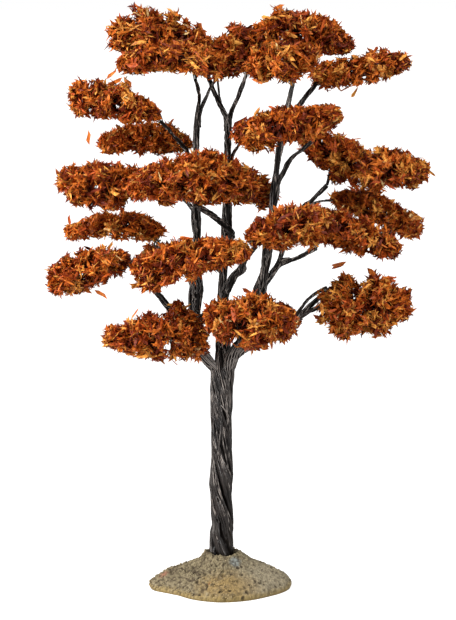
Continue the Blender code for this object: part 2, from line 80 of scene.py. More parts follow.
def operator(operation, turned):  # turned when the port is on the right of the sign
    def apply(port, value):
        return port.graph.maths(operation, *((value, port) if turned else (port, value)))
    return apply


for sign, operation in {"add": "ADD", "sub": "SUBTRACT", "mul": "MULTIPLY", "truediv": "DIVIDE"}.items():
    setattr(Port, f"__{sign}__", operator(operation, False))
    setattr(Port, f"__r{sign}__", operator(operation, True))


class Graph:  # a node tree, of a material, of the world or of geometry
    def __init__(self, tree):
        self.tree = tree

    def node(self, kind, sockets=None, **settings):  # its sockets by name or by place
        made = self.tree.nodes.new(kind)
        for name, value in settings.items():
            setattr(made, name, value)
        taken = [socket for socket in made.inputs if socket.enabled]
        for key, value in (sockets or {}).items():
            socket = taken[key] if isinstance(key, int) else next(s for s in taken if s.name == key)
            for item in value if isinstance(value, list) else [value]:
                if isinstance(item, Port):
                    self.tree.links.new(item.socket, socket)
                else:
                    socket.default_value = (*item[:3], 1) if socket.type == "RGBA" else item
        return Port(self, next(socket for socket in made.outputs if socket.enabled))

    def maths(self, operation, *values):
        return self.node("ShaderNodeMath", dict(enumerate(values)), operation=operation)

    def vector(self, operation, *values):
        return self.node("ShaderNodeVectorMath", dict(enumerate(values)), operation=operation)

    def scaled(self, vector, by):
        return self.node("ShaderNodeVectorMath", {"Vector": vector, "Scale": by}, operation="SCALE")

    def part(self, vector, axis):
        return self.node("ShaderNodeSeparateXYZ", {0: vector}).other(axis)

    def mixed(self, factor, first, second):  # of colours
        return self.node("ShaderNodeMix", {"Factor": factor, "A": first, "B": second}, data_type="RGBA")

    def stepped(self, value, low, high, start=0.0, end=1.0):  # from start to end between low and high
        sockets = {"Value": value, "From Min": low, "From Max": high, "To Min": start, "To Max": end}
        return self.node("ShaderNodeMapRange", sockets, clamp=True)

    def ramped(self, value, stops):  # a colour for each place from 0 to 1
        made = self.node("ShaderNodeValToRGB", {"Fac": value})
        elements = made.socket.node.color_ramp.elements
        while len(elements) < len(stops):
            elements.new(1.0)
        for element, (place, colour) in zip(elements, stops):
            element.position, element.color = place, (*colour, 1)
        return made

    def noise(self, place, scale, detail=2.0, roughness=0.5):
        sockets = {"Vector": place, "Scale": scale, "Detail": detail, "Roughness": roughness}
        return self.node("ShaderNodeTexNoise", sockets)

    def cells(self, place, scale):
        return self.node("ShaderNodeTexVoronoi", {"Vector": place, "Scale": scale}, feature="F1")

    def random(self, low, high, seed, **more):
        kind = "FLOAT_VECTOR" if isinstance(low, tuple) else "FLOAT"
        sockets = {"Min": low, "Max": high, "Seed": seed, **more}
        return self.node("FunctionNodeRandomValue", sockets, data_type=kind)

    def takes(self, values):  # named inputs: for each the number it starts from, or its kind
        for name, value in values.items():
            kind = value if isinstance(value, str) else {int: "Int", float: "Float"}[type(value)]
            made = self.tree.interface.new_socket(name, in_out="INPUT", socket_type="NodeSocket" + kind)
            if kind != value:
                made.default_value = value
        source = self.tree.nodes.new("NodeGroupInput")
        return [Port(self, source.outputs[name]) for name in values]

    def here(self):
        return self.node("GeometryNodeInputPosition")

    def moved(self, shape, offset):
        return self.node("GeometryNodeSetPosition", {"Geometry": shape, "Offset": offset})

    def stored(self, shape, name, value, kind="FLOAT"):
        sockets = {"Geometry": shape, "Name": name, "Value": value}
        return self.node("GeometryNodeStoreNamedAttribute", sockets, data_type=kind, domain="POINT")

    def named(self, name, kind="FLOAT_VECTOR"):
        return self.node("GeometryNodeInputNamedAttribute", {"Name": name}, data_type=kind)

    def tube(self, curve, sides, scale):
        profile = self.node("GeometryNodeCurvePrimitiveCircle", {"Resolution": sides, "Radius": 1.0})
        sockets = {"Curve": curve, "Profile Curve": profile, "Scale": scale, "Fill Caps": True}
        return self.node("GeometryNodeCurveToMesh", sockets)

    # the wire coat paints glints where crest is high and shade where it is low
    def crested(self, wires):  # "crest" is 1 where a wire looks away from its axis, 0 beside that
        away = self.vector("NORMALIZE", self.vector("SUBTRACT", self.here(), self.named("axis")))
        share = self.vector("DOT_PRODUCT", self.node("GeometryNodeInputNormal"), away).other("Value")
        return self.stored(wires, "crest", self.stepped(share, 0.1, 1.0))

    def finish(self, shape, look):  # every tree ends in a plain mesh with its finish
        real = self.node("GeometryNodeRealizeInstances", {"Geometry": shape})
        dressed = self.node("GeometryNodeSetMaterial", {"Geometry": real, "Material": look})
        self.tree.interface.new_socket("Geometry", in_out="OUTPUT", socket_type="NodeSocketGeometry")
        self.tree.links.new(dressed.socket, self.tree.nodes.new("NodeGroupOutput").inputs[0])
        return self.tree


class Look(Graph):  # a material, with the values that are the same all over it
    def __init__(self, name, plain):
        self.material = bpy.data.materials.new(name)
        self.material.use_nodes = True
        super().__init__(self.material.node_tree)
        self.skin = self.tree.nodes["Principled BSDF"]
        for key, value in plain.items():
            self.skin.inputs[key].default_value = value

    def place(self):
        return self.node("ShaderNodeTexCoord").other("Object")

    def mark(self, name):
        return self.node("ShaderNodeAttribute", attribute_name=name).other("Fac")

    def bump(self, height, strength, distance):
        sockets = {"Strength": strength, "Distance": distance * mm, "Height": height}
        return self.node("ShaderNodeBump", sockets)

    def varied(self, ports):  # what changes over the surface
        for name, port in ports.items():
            self.tree.links.new(port.socket, self.skin.inputs[name])
        return self.material


def geometryGraph(name):
    return Graph(bpy.data.node_groups.new(name, "GeometryNodeTree"))


workValues = ("girth", "across", "up", "axis", "thick", "along", "facing", "size", "shape")


def grown(piece, tree, inputs, smooth=True):  # gives the piece the tree's result as its plain mesh
    modifier = piece.modifiers.new(tree.name, "NODES")
    modifier.node_group = tree
    for item in tree.interface.items_tree:
        if item.in_out == "INPUT" and item.name in inputs:
            modifier[item.identifier] = inputs[item.name]
    shown = piece.evaluated_get(bpy.context.evaluated_depsgraph_get())
    mesh = bpy.data.meshes.new_from_object(shown)
    piece.modifiers.remove(modifier)
    piece.data = mesh
    mesh.name = piece.name
    for name in workValues:
        if name in mesh.attributes:
            mesh.attributes.remove(mesh.attributes[name])
    if smooth:
        mesh.shade_smooth()
    return piece


def added(name, data):  # a new object in the scene
    made = bpy.data.objects.new(name, data)
    bpy.context.scene.collection.objects.link(made)
    return made


def meshPiece(name, points, faces=(), edges=(), look=None):
    mesh = bpy.data.meshes.new(name)
    mesh.from_pydata((np.asarray(points, float) * mm).tolist(), list(edges), list(faces))
    if look:
        mesh.materials.append(look)
    if len(faces):
        mesh.shade_smooth()
    return added(name, mesh)


def store(piece, **values):  # a value for each point
    for name, given in values.items():
        given = np.asarray(given)
        kind = "FLOAT_VECTOR" if given.ndim == 2 else "INT" if given.dtype.kind == "i" else "FLOAT"
        made = piece.data.attributes.new(name, kind, "POINT")
        made.data.foreach_set("vector" if given.ndim == 2 else "value", given.ravel())


def ringFaces(rings, sides):  # faces of a skin over equal rings, and its two flat ends
    at = np.arange(rings * sides).reshape(rings, sides)
    after = np.roll(at, -1, axis=1)
    quads = np.stack([at[:-1], after[:-1], after[1:], at[1:]], axis=-1).reshape(-1, 4)
    return [*quads.tolist(), at[0, ::-1].tolist(), at[-1].tolist()]


def placed(piece, slot, *nodes):
    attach(piece, body)
    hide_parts(*nodes)


coating = {  # black, glossy on the crests; pale worn patches only on the crests, so painted shade between the wires, and painted glints in streaks on the crests and at the fork
    "dark": (0.0035, 0.0023, 0.0018), "pale": (0.021, 0.0152, 0.0122), "glint": (0.37, 0.33, 0.3),
    "gloss": 0.38,
    "plain": {"Specular IOR Level": 0.2, "Coat IOR": 1.7, "Coat Roughness": 0.2},
}


def wireLook():
    size = coating
    look = Look("coatedWire", size["plain"])
    place, crest = look.place(), look.mark("crest")
    drawn = look.node("ShaderNodeMapping", {"Vector": place, "Scale": (1, 1, 0.2)})
    patchy = look.noise(drawn, 520.0, 5.0, 0.65)
    share = look.stepped(patchy + look.noise(place, 110.0) * 0.7, 0.72, 1.05)
    streak = look.stepped(look.noise(drawn, 800.0, 3.0, 0.6), 0.5, 0.62)
    height = look.part(place, "Z")
    # painted glints: pale streaks on the crests, and more of them at the fork
    forkGlint = look.stepped(height, 0.084, 0.09) * look.stepped(height, 0.106, 0.098)
    paintedGlint = look.stepped(crest, 0.68, 0.98) * (streak + forkGlint * 0.9 * (1 - streak))
    # the pale patches show only on the crests, so between the wires and on the bundle cores, which carry
    # no crest, the colour stays dark: painted shade; the same mask sets the coat
    high = look.stepped(crest, 0.05, 0.6)
    colour = look.mixed(share * high, size["dark"], size["pale"])
    return look.varied({
        "Base Color": look.mixed(paintedGlint, colour, size["glint"]),
        "Roughness": look.stepped(patchy, 0.3, 0.7, 0.3, 0.55),
        "Coat Weight": high * size["gloss"],
        "Normal": look.bump(look.noise(drawn, 2600.0, 3.0), 0.25, 0.1),
    })


chipFinish = {
    "deep": (0.5, 0.38, 0.32), "light": (1.28, 1.55, 1.75),  # how many times the chip's own tint
    "plain": {"Specular IOR Level": 0.2},
}


def chipLook(name, tint):  # dyed wood: grain, and each chip a little lighter or darker
    look = Look(name, chipFinish["plain"])
    place = look.place()
    each, grain = look.noise(place, 560.0, 3.0, 0.7), look.noise(place, 3000.0)
    deep, light = (tuple(np.minimum(1, np.multiply(tint, chipFinish[way]))) for way in ("deep", "light"))
    return look.varied({
        "Base Color": look.mixed(look.stepped(each + grain * 0.25, 0.5, 0.78), deep, light),
        "Roughness": look.stepped(each, 0.3, 0.7, 0.34, 0.6),
        "Normal": look.bump(grain, 0.35, 0.1),
    })


# The three leaders part at the trunk's head: the points each passes, its diameters at root and tip,
# and heights at which its bundle is that many times as thick as an even taper.
leaders = {
    "left_leader": (
        [
            (-2.6, -1.2, 88), (-5.3, -1.4, 91), (-8.3, -1, 95.4), (-10.7, 0, 100), (-11.3, 1, 105.5),
            (-10.6, 2.6, 114), (-10, 3, 123), (-10, 4, 146), (-10.2, 4, 174), (-10, 4, 182),
            (-9.3, 4, 189),
        ],
        (4.4, 2.6),
        (
            (88, 1), (100, 1.12), (113, 1.25), (119, 1.5), (124, 1.15), (139, 0.92), (148, 1.18),
            (155, 0.95), (174, 0.95), (189, 1),
        ),
    ),
    "middle_leader": (
        [(0.2, 2.4, 88), (0.2, 3.5, 107), (0.1, 5, 122), (1.7, 6, 142), (2.1, 6, 165), (2.2, 6, 187.5)],
        (4.6, 2.5),
        (
            (88, 1.25), (97, 1.3), (108, 1.1), (122, 0.88), (134, 1.05), (142, 1.35), (152, 1.2),
            (158, 1.05), (170, 1), (178, 1.15), (187, 1.05),
        ),
    ),
    "right_leader": (
        [
            (2.6, -1.4, 88), (4.6, -1.7, 94.6), (8.6, -2.2, 100.4), (11.6, -3.5, 107.5),
            (13.6, -5, 116.5), (16.4, -6.6, 127), (18, -8, 138), (20, -8.5, 156), (22, -9, 175),
            (25, -8.5, 190), (27, -8, 199.5), (28.3, -9.5, 205),
        ],
        (4.3, 1.8),
        (
            (88, 1.1), (100, 1.2), (112, 1.2), (120, 1.5), (126, 1.05), (129, 1), (133, 1.2), (138, 1.4),
            (142, 1.3), (150, 1), (160, 1.25), (167, 0.85), (175, 1.1), (190, 1.15), (200, 0.9),
        ),
    ),
}

# A bough peels off a leader or another bough: its parent, the height or the point where it leaves,
# the points it passes on its way to its tip, and its diameters.
boughs = {
    "low_left": (
        "left_leader", 96.5,
        [(-17.2, 2, 106.5), (-24, 1.4, 116), (-29.8, 0, 123.7), (-36.4, -1.5, 130.2)], (3.2, 3, 2.8, 2.2),
    ),
    "mid_left": ("left_leader", 119, [(-16.5, 8, 128), (-26, 13, 137)], (2.1, 1.6)),
    "far_left": ("mid_left", 131, [(-26, 7, 131.6), (-34, 1, 132)], (1.7, 1.5)),
    "high_left": ("left_leader", 166, [(-14.5, 0, 175), (-23.5, -6, 185.5)], (2.2, 1.6)),
    "big_left": ("left_leader", 150, [(-18.5, 9, 157), (-30, 2, 161)], (2, 1.5)),
    "front_left": ("left_leader", 123, [(-11.5, -5, 130.5), (-13.5, -12, 133)], (1.8, 1.4)),
    "bottom_front": (
        "left_leader", 104.5, [(-8.2, -4.5, 109), (-6, -9, 112), (-3.4, -13, 113.4)], (2.2, 1.7),
    ),
    "top_left_lower": ("left_leader", (-9.6, 4, 189), [(-9, 1, 195.8), (-10.2, -4, 202)], (1.8, 1.6)),
    "top_middle": ("left_leader", (-8.7, 4, 189), [(-5.4, 5, 196.5), (-1.8, 7, 202.5)], (1.8, 1.6)),
    "top_left": (
        "middle_leader", (1.4, 6, 187.5), [(-0.9, 7, 191.9), (-3.3, 9, 197), (-6, 10.5, 204)], (2.3, 1.9),
    ),
    "top_right": (
        "middle_leader", (3.2, 6, 187.5),
        [(4.9, 3, 192), (7.2, 0.6, 197.6), (9.2, -0.6, 203.5), (12, 4, 210)], (2, 1.9),
    ),
    "high_front": ("middle_leader", 162, [(4, -7, 172.5), (7, -17, 178)], (1.8, 1.4)),
    "centre": (
        "middle_leader", 138.5, [(4, 1.6, 141), (0.2, -2.6, 146), (-4.8, -6, 150), (-10.5, -9, 154)],
        (2.6, 3, 2.9, 2.2),
    ),
    "front_right": (
        "middle_leader", 113,
        [(1.8, 1.5, 119.4), (4.4, -1, 124.4), (7.2, -4, 128), (9.2, -9, 132.6), (13, -15, 138)],
        (3.4, 4, 3.4, 2.2, 2),
    ),
    "cross_right": (
        "right_leader", 161, [(26.2, -8, 170.8), (31, -10.5, 175.2), (34.8, -11, 178.6)], (2.4, 2.1, 1.6),
    ),
    "high_right": ("right_leader", 183, [(28, -7.5, 189.8), (32, -5, 194.8), (36.4, 1, 200)], (2.4, 2.1)),
    "big_right": (
        "right_leader", 121.5,
        [(22.4, -4, 131), (24.8, -3, 140), (31.7, 0, 151.8), (36, 0.6, 155.2), (41, 1, 160.6)],
        (2.8, 2.4, 2.2, 2.1),
    ),
    "mid_right": ("big_right", 130, [(29.6, -5, 132.8), (37, -3, 136.2)], (2.2, 1.9)),
    "rear_right": ("big_right", 152, [(38.5, 4, 154), (43.5, 8, 153.8)], (1.3, 1)),
    "bottom_right": (
        "right_leader", 93,
        [(9.6, -3, 96.8), (20.8, -4, 103.5), (28.9, -6, 108.8), (34, -6.8, 113.6), (42.5, -7.8, 121.2)],
        (3.4, 3.2, 3.1, 2.2, 1.9),
    ),
    "bottom_right_fork": (
        "bottom_right", 108.5, [(32.4, -6.6, 110.8), (36.7, -8, 113.2), (40, -8, 114.6)], (2.4, 2),
    ),
    "back_top": ("top_left", 191, [(-1.5, 17, 198), (-2.5, 26, 206)], (1.2, 1)),
    "back_high": ("right_leader", 166, [(23.5, 6, 175), (25.5, 17.5, 179)], (1.7, 1.3)),
    "back_centre": ("middle_leader", 140, [(2, 17, 149), (1, 25, 152.5)], (2, 1.5)),
    "back_low": ("middle_leader", 115, [(0, 15, 123), (-3.5, 24.5, 126)], (1.9, 1.4)),
    "back_right": ("right_leader", 127, [(18, 6, 134), (21.5, 16.5, 136.5)], (1.8, 1.4)),
    "back_bottom": ("middle_leader", 94, [(2.5, 10.5, 99.5), (6, 16, 101.5)], (1.8, 1.4)),
}

# Short ends of wire that stand off the limbs: the points of each, and its reach at both ends.
wireEnds = (
    ([(-10.9, 0.6, 108.4), (-13.9, 0, 109.4), (-16.4, -0.5, 110.6)], (0.7, 0.5)),
    ([(-10.6, 0.4, 111), (-8.6, -1.8, 108.9), (-6.2, -2.4, 106.4), (-3.2, -3, 103)], (1, 0.8)),
    ([(-11.4, 0.6, 107.5), (-13.4, 0.1, 106.2), (-11.9, -0.9, 104.2)], (0.5, 0.4)),
    (
        [(-34.5, -1.5, 131.2), (-36.4, -1.4, 129.6), (-35.1, -1, 127.8), (-32.2, -0.8, 127.6)],
        (0.85, 0.75),
    ),
    ([(-24.3, 9, 138.1), (-27, 9, 136.9), (-26, 9.5, 135.3), (-23.8, 9, 135.9)], (0.5, 0.45)),
    ([(5.2, 3.4, 124.4), (8.7, 2.8, 126.8), (8, 2.6, 129.4), (6.2, 3, 127.4)], (1, 0.8)),
    ([(28.6, -6.6, 109.4), (32, -6.8, 114.8), (36, -7.2, 118.6), (41, -7.8, 121.4)], (0.85, 0.75)),
    ([(21.5, -4.6, 129.4), (23.4, -4.4, 131.6), (26.5, -4.6, 132.2)], (1.2, 0.8)),
)

wire = {
    "radius": 0.34,  # of one coated wire
    "apart": 2.3,  # from one wire to the next round a bundle, in radii
    "step": 1.1,  # between the rings of a wire
    "sides": 6,
    "leaderPitch": 110.0,  # height of one whole turn of a bundle
    "boughPitch": 34.0,
    "splay": 0.5,  # how much one wire's turn may differ from the next one's
    "wander": 1.2,
    "peel": 9.0,  # how far down its parent a bough's wires can be followed
    "peelSpread": 0.95,  # how far round the parent they lie there, in radians each way
    "peelOut": 7.0,  # and how far out along the bough
}


def between(at, places, points):  # the points read off at other places
    return np.stack([np.interp(at, places, points[:, i]) for i in range(3)], axis=-1)


def lengthsAlong(line):
    return np.concatenate([[0], np.cumsum(np.linalg.norm(np.diff(line, axis=0), axis=1))])


def around(turn, reach):  # points round the upright axis
    return np.stack([reach * np.cos(turn), reach * np.sin(turn), 0 * turn], axis=-1)


def smoothLine(through, step):  # evenly spaced points of a Catmull-Rom curve
    knots = np.array(through, float)
    ends = [2 * knots[0] - knots[1], *knots, 2 * knots[-1] - knots[-2]]
    fine = []
    for a, b, c, d in zip(ends, ends[1:], ends[2:], ends[3:]):
        for t in np.linspace(0, 1, 24, endpoint=False):
            square = (2 * a - 5 * b + 4 * c - d) * t**2
            cube = (3 * b - a - 3 * c + d) * t**3
            fine.append(0.5 * (2 * b + (c - a) * t + square + cube))
    fine = np.array([*fine, knots[-1]])
    along = lengthsAlong(fine)
    return between(np.linspace(0, along[-1], max(3, round(along[-1] / step) + 1)), along, fine)


def framesAlong(line):  # two directions square to the line at each point, carried along without twist
    headings = np.gradient(line, axis=0)
    headings /= np.linalg.norm(headings, axis=1)[:, None]
    side = np.cross(headings[0], (0.3, 1, 0.1))
    sides = []
    for heading in headings:
        side = side - heading * side.dot(heading)
        side /= np.linalg.norm(side)
        sides.append(side)
    return np.array(sides), np.cross(headings, sides)


def eased(value):  # 0 to 1 with soft ends
    value = np.clip(value, 0, 1)
    return value * value * (3 - 2 * value)


def tapered(values, count):  # the values evenly spread over so many stations
    return np.interp(np.linspace(0, 1, count), np.linspace(0, 1, len(values)), values)


class Limb:
    def __init__(self, line, diameters):
        self.line = line
        self.radius = tapered(diameters, len(line)) / 2

    def atHeight(self, height):
        return between(height, self.line[:, 2], self.line)

    def radiusAt(self, height):
        return np.interp(height, self.line[:, 2], self.radius)

    def clearance(self, points):  # of each point from the limb's surface
        points = np.atleast_2d(points)[:, None, :]
        starts, runs = self.line[:-1], np.diff(self.line, axis=0)
        share = np.clip(((points - starts) * runs).sum(axis=2) / (runs**2).sum(axis=1), 0, 1)
        feet = starts + share[:, :, None] * runs
        radius = self.radius[:-1] + share * np.diff(self.radius)
        return (np.linalg.norm(points - feet, axis=2) - radius).min(axis=1)


def wireBundleTree():  # wires laid round a dark core along a line
    graph = geometryGraph("wireBundle")
    line, count, radius, turning, splay, wander, sides, seed, look = graph.takes({
        "Line": "Geometry", "Wires": 12, "Wire radius": 0.3 * mm, "Turns per metre": 10.0, "Splay": 0.3,
        "Wander": 0.5, "Sides": 6, "Seed": 0, "Finish": "Material",
    })
    path = graph.node("GeometryNodeMeshToCurve", {"Mesh": line})
    sockets = {"Geometry": path, "Amount": count}
    copies = graph.node("GeometryNodeDuplicateElements", sockets, domain="SPLINE")
    index = copies.other("Duplicate Index")
    along = graph.node("GeometryNodeSplineParameter").other("Length")
    own = graph.random(-1.0, 1.0, seed, ID=index)

    def swaying(pace, apart):  # each wire's own slow noise
        sockets = {"W": along * pace + index * apart + seed}
        return graph.node("ShaderNodeTexNoise", sockets, noise_dimensions="1D")

    turn = along * turning * (2 * math.pi) * (1 + own * splay)
    angle = index / count * (2 * math.pi) - turn + (swaying(110, 7.3) - 0.5) * wander
    girth = graph.named("girth", "FLOAT")
    reach = girth - radius * (0.55 + swaying(190, 3.1) * 0.9)
    across = graph.scaled(graph.named("across"), reach * graph.maths("COSINE", angle))
    up = graph.scaled(graph.named("up"), reach * graph.maths("SINE", angle))
    marked = graph.stored(copies, "axis", graph.here(), "FLOAT_VECTOR")
    moved = graph.moved(marked, graph.vector("ADD", across, up))
    wires = graph.crested(graph.tube(moved, sides, radius * (0.9 + own * 0.2)))
    core = graph.tube(path, 10, graph.maths("MAXIMUM", girth - radius * 1.75, radius * 0.4))
    return graph.finish(graph.node("GeometryNodeJoinGeometry", {0: [core, wires]}), look)


def bundle(name, line, girth, look, seed, tree, pitch=wire["boughPitch"]):
    across, up = framesAlong(line)
    piece = meshPiece(name, line, edges=[(i, i + 1) for i in range(len(line) - 1)])
    store(piece, girth=np.array(girth) * mm, across=across, up=up)
    radius = wire["radius"]
    count = round(2 * math.pi * max(float(np.mean(girth)) - radius, 0) / (wire["apart"] * radius))
    return grown(piece, tree, {
        "Wires": max(3, count), "Wire radius": radius * mm, "Turns per metre": 1 / (pitch * mm),
        "Splay": wire["splay"], "Wander": wire["wander"], "Sides": wire["sides"], "Seed": seed,
        "Finish": look,
    })


def tubesTree():  # a thin tube along each line
    graph = geometryGraph("thinTubes")
    lines, radius, sides, look = graph.takes({
        "Lines": "Geometry", "Radius": 0.3 * mm, "Sides": 6, "Finish": "Material",
    })
    path = graph.node("GeometryNodeMeshToCurve", {"Mesh": lines})
    tubes = graph.tube(path, sides, radius * graph.named("thick", "FLOAT"))
    return graph.finish(graph.crested(tubes), look)


def tubes(name, lines, thick, radius, sides, look, tree, centres=None):  # one piece of many tubes
    points, edges, widths = [], [], []
    for line, width in zip(lines, thick):
        first = len(points)
        points.extend(line)
        edges.extend((first + i, first + i + 1) for i in range(len(line) - 1))
        widths.extend(np.broadcast_to(width, len(line)))
    piece = meshPiece(name, points, edges=edges)
    axis = np.array(points) * (0, 0, 1) if centres is None else np.concatenate(centres)
    store(piece, thick=widths, axis=axis * mm)
    return grown(piece, tree, {"Radius": radius * mm, "Sides": sides, "Finish": look})


trunkSize = {
    "shape": (  # height, radius and how far the middle lies to the right
        (5.3, 4.9, -0.1), (14, 4.85, -0.1), (21.9, 4.6, -0.25), (26, 4.15, 0.1), (37.5, 4.15, -0.5),
        (41.5, 4.7, -0.3), (45.5, 4.6, 0), (53.5, 3.95, -0.2), (61, 3.9, -0.35), (73, 4.1, -0.25),
        (81, 4.2, -0.25), (85, 4.5, 0), (87.5, 4.3, 0), (90, 3.4, 0.1), (93, 2.3, 0.2), (96, 1.2, 0.2),
    ),
    "bottom": 5.3, "top": 96.0, "head": 87,
    "strands": 3, "pitch": 87.0, "ridge": 0.055,
    "sides": 300, "rings": 200,
    "grooves": 4, "grooveLay": 68.0, "grooveDepth": 1.25,
    "bundleLay": 70.0, "bundleDepth": 0.42, "wireLay": 21.0, "wireDepth": 0.24,
    "wires": 70, "wireRadius": 0.36, "wireStart": (16, 72), "wireLength": (12, 34),
}


def trunkAt(height):  # its radius, and its middle
    heights, radii, shifts = np.array(trunkSize["shape"]).T
    middle = np.stack([np.interp(height, heights, shifts), 0 * height, height], axis=-1)
    return np.interp(height, heights, radii), middle


def softNoise(points, seed):  # lattice noise from 0 to 1
    cell = np.floor(points).astype(np.int64)
    part = points - cell
    part = part * part * (3 - 2 * part)
    total = np.zeros(len(points))
    for corner in np.ndindex(2, 2, 2):
        at = cell + corner
        mixed = (at[:, 0] * 73856093) ^ (at[:, 1] * 19349663) ^ (at[:, 2] * 83492791) ^ (seed * 2654435761)
        mixed = (mixed ^ (mixed >> 13)) * 1274126177 & 0xFFFFFFFF
        value = (mixed ^ (mixed >> 16)) % 65536 / 65535
        total += value * np.prod(np.where(np.array(corner) == 1, part, 1 - part), axis=1)
    return total


def trunkRelief(look):  # the strands, the bundles in them and the fine wires, as one skin
    size, whole = trunkSize, 2 * math.pi
    columns = np.linspace(0, whole, size["sides"], endpoint=False)
    heights = np.linspace(size["bottom"], size["top"], size["rings"])
    column, height = (grid.ravel() for grid in np.meshgrid(columns, heights))
    turn = column - whole * height / size["pitch"]  # the columns follow the lay
    lay = size["strands"] * column
    radius, middle = trunkAt(height)
    radius = radius * (1 + size["ridge"] * np.cos(lay))
    ring = around(turn, 2.0) + np.outer(height * 0.07, (0, 0, 1))
    patchy, lines = softNoise(ring + 5, 1), softNoise(ring * (1.6, 1.6, 1.2) + 9, 2)

    def groove(phase, width):  # 1 where the phase is half a turn, falling to 0 beside it
        away = np.abs((phase / whole) % 1 - 0.5) * whole
        return np.exp(-((away / width) ** 2))

    low = eased((60 - height) / 25)
    main = size["grooves"] * (turn + whole * height / size["grooveLay"]) + 1.6 * lines
    radius -= size["grooveDepth"] * groove(main, 0.5) * (0.45 + 0.6 * patchy + 0.25 * low)
    loose = 4 * lay + whole * height / size["bundleLay"] + 4.0 * lines
    radius -= size["bundleDepth"] * groove(loose, 0.7) * (0.3 + 1.0 * lines)
    fine = 11 * lay - whole * height / size["wireLay"] + 6 * patchy
    radius += size["wireDepth"] * np.cos(fine) * (1 - 0.5 * low) * (0.4 + 0.8 * lines)
    points = middle + around(turn, radius)
    piece = meshPiece("trunk_strands", points, ringFaces(size["rings"], size["sides"]), look=look)
    # painted shade and glints: crest is 0 in the grooves, where the coat paints shade, and high on the
    # fine wires' ridges, where it paints glints
    shade = (1 - groove(main, 1.0)) * (1 - 0.5 * groove(loose, 0.8))
    onWires = (1 - low) * eased(0.5 + 0.6 * np.cos(fine))
    store(piece, crest=shade * (low * (0.35 + 0.3 * patchy) + onWires))
    return piece


def trunkWires(look, tree):  # single wires that stand out of the skin and sink into it again
    size = trunkSize
    chance = np.random.default_rng(7)
    lines = []
    for k in range(size["wires"]):
        first, last = chance.uniform(*size["wireStart"]), chance.uniform(*size["wireLength"])
        height = np.arange(first, min(first + last, size["head"]), 1.0)
        share = (height - first) / (height[-1] - first)
        radius, middle = trunkAt(height)
        slip = chance.normal() * (0.2 + 0.5 * (first > 40))
        turn = k * 2.4 - 2 * math.pi * height / size["pitch"] * (1 + slip) + 0.12 * np.sin(height / 5 + k)
        sunk = 0.5 * np.abs(2 * share - 1) ** 3
        lines.append(middle + around(turn, radius + 0.02 - sunk - 0.16 * chance.uniform()))
    return tubes("trunk_wires", lines, [1.0] * len(lines), size["wireRadius"], wire["sides"], look, tree)


fork = {
    "height": 88,  # where the leaders start
    "first": (66.0, 76.0),  # the heights at which a leader's wires come up on the trunk
    "part": (80.0, 93.0),  # between these they pass from the trunk to their leader
    "last": (97.0, 106.0),  # and here they sink into it
    "wires": 14,
    "sector": 1.02,  # half the trunk's face that each leader's wires cover, in radians
}


def forkWires(wholes, girths):  # the leaders' wires run up the trunk's face and on round their leader
    size = fork
    low, high = size["part"]
    chance = np.random.default_rng(12)
    lines, centres = [], []
    for name, whole in wholes.items():
        start = np.array(leaders[name][0][0], float)
        facing = math.atan2(start[1], start[0])
        for k in range(size["wires"]):
            offset = (2 * (k + 0.5) / size["wires"] - 1) + chance.uniform(-0.05, 0.05)
            height = np.arange(chance.uniform(*size["first"]), chance.uniform(*size["last"]), 0.8)
            radius, middle = trunkAt(np.minimum(height, trunkSize["head"]))
            middle[:, 2] = height
            above = height - size["height"]
            turn = facing + size["sector"] * offset - 2 * math.pi * above / trunkSize["pitch"]
            sunk = 0.45 * (1 - eased((height - height[0]) / 6))
            onTrunk = middle + around(turn + 0.1 * np.sin(height / 4 + 2 * k), radius + 0.12 - sunk)
            centre = whole.atHeight(height)
            swing = facing + 2.7 * offset - 2 * math.pi * above / wire["leaderPitch"]
            ends = 0.55 * eased((height - height[-1] + 6) / 6)
            onLeader = centre + around(swing, np.interp(height, *girths[name]) + 0.08 - ends)
            share = eased((height - low) / (high - low))[:, None]
            lines.append(onTrunk * (1 - share) + onLeader * share)
            centres.append(middle * (1 - share) + centre * share)
    return lines, centres


def peelWires(child, parent, root, aim, seed):  # a bough's wires leave its parent's face one by one
    chance = np.random.default_rng(seed)
    count = max(4, round(child.radius[0] * 5))
    facing = math.atan2(aim[1], aim[0])
    out = np.arange(0, wire["peelOut"] + 3, 0.8)
    steps = lengthsAlong(child.line)
    lines, centres = [], []
    for k in range(count):
        offset = 2 * (k + 0.5) / count - 1
        height = np.arange(root[2] - wire["peel"] * chance.uniform(0.55, 1.0), root[2] + 0.1, 0.8)
        turn = facing + wire["peelSpread"] * offset * (1 + 0.5 * (root[2] - height) / wire["peel"])
        sunk = 0.4 * (1 - eased((height - height[0]) / 4))
        below = parent.atHeight(height) + around(turn, parent.radiusAt(height) + 0.12 - sunk)
        far = out[out < wire["peelOut"] * chance.uniform(0.7, 1.0)]
        centre = between(far, steps, child.line)
        radius = np.interp(far, steps, child.radius) + 0.05 - 0.4 * eased((far - far[-1] + 3) / 3)
        swing = math.pi * offset
        side = np.cross(aim, (0, 0, 1)) * math.sin(swing) - np.array((0, 0, 1)) * math.cos(swing)
        keep = far > parent.radiusAt(root[2]) + 0.8
        joined = np.concatenate([below, (centre + np.outer(radius, side))[keep]])
        for _ in range(3):
            joined[1:-1] = (joined[:-2] + 2 * joined[1:-1] + joined[2:]) / 4
        lines.append(joined)
        centres.append(np.concatenate([parent.atHeight(height), centre[keep]]))
    return lines, centres


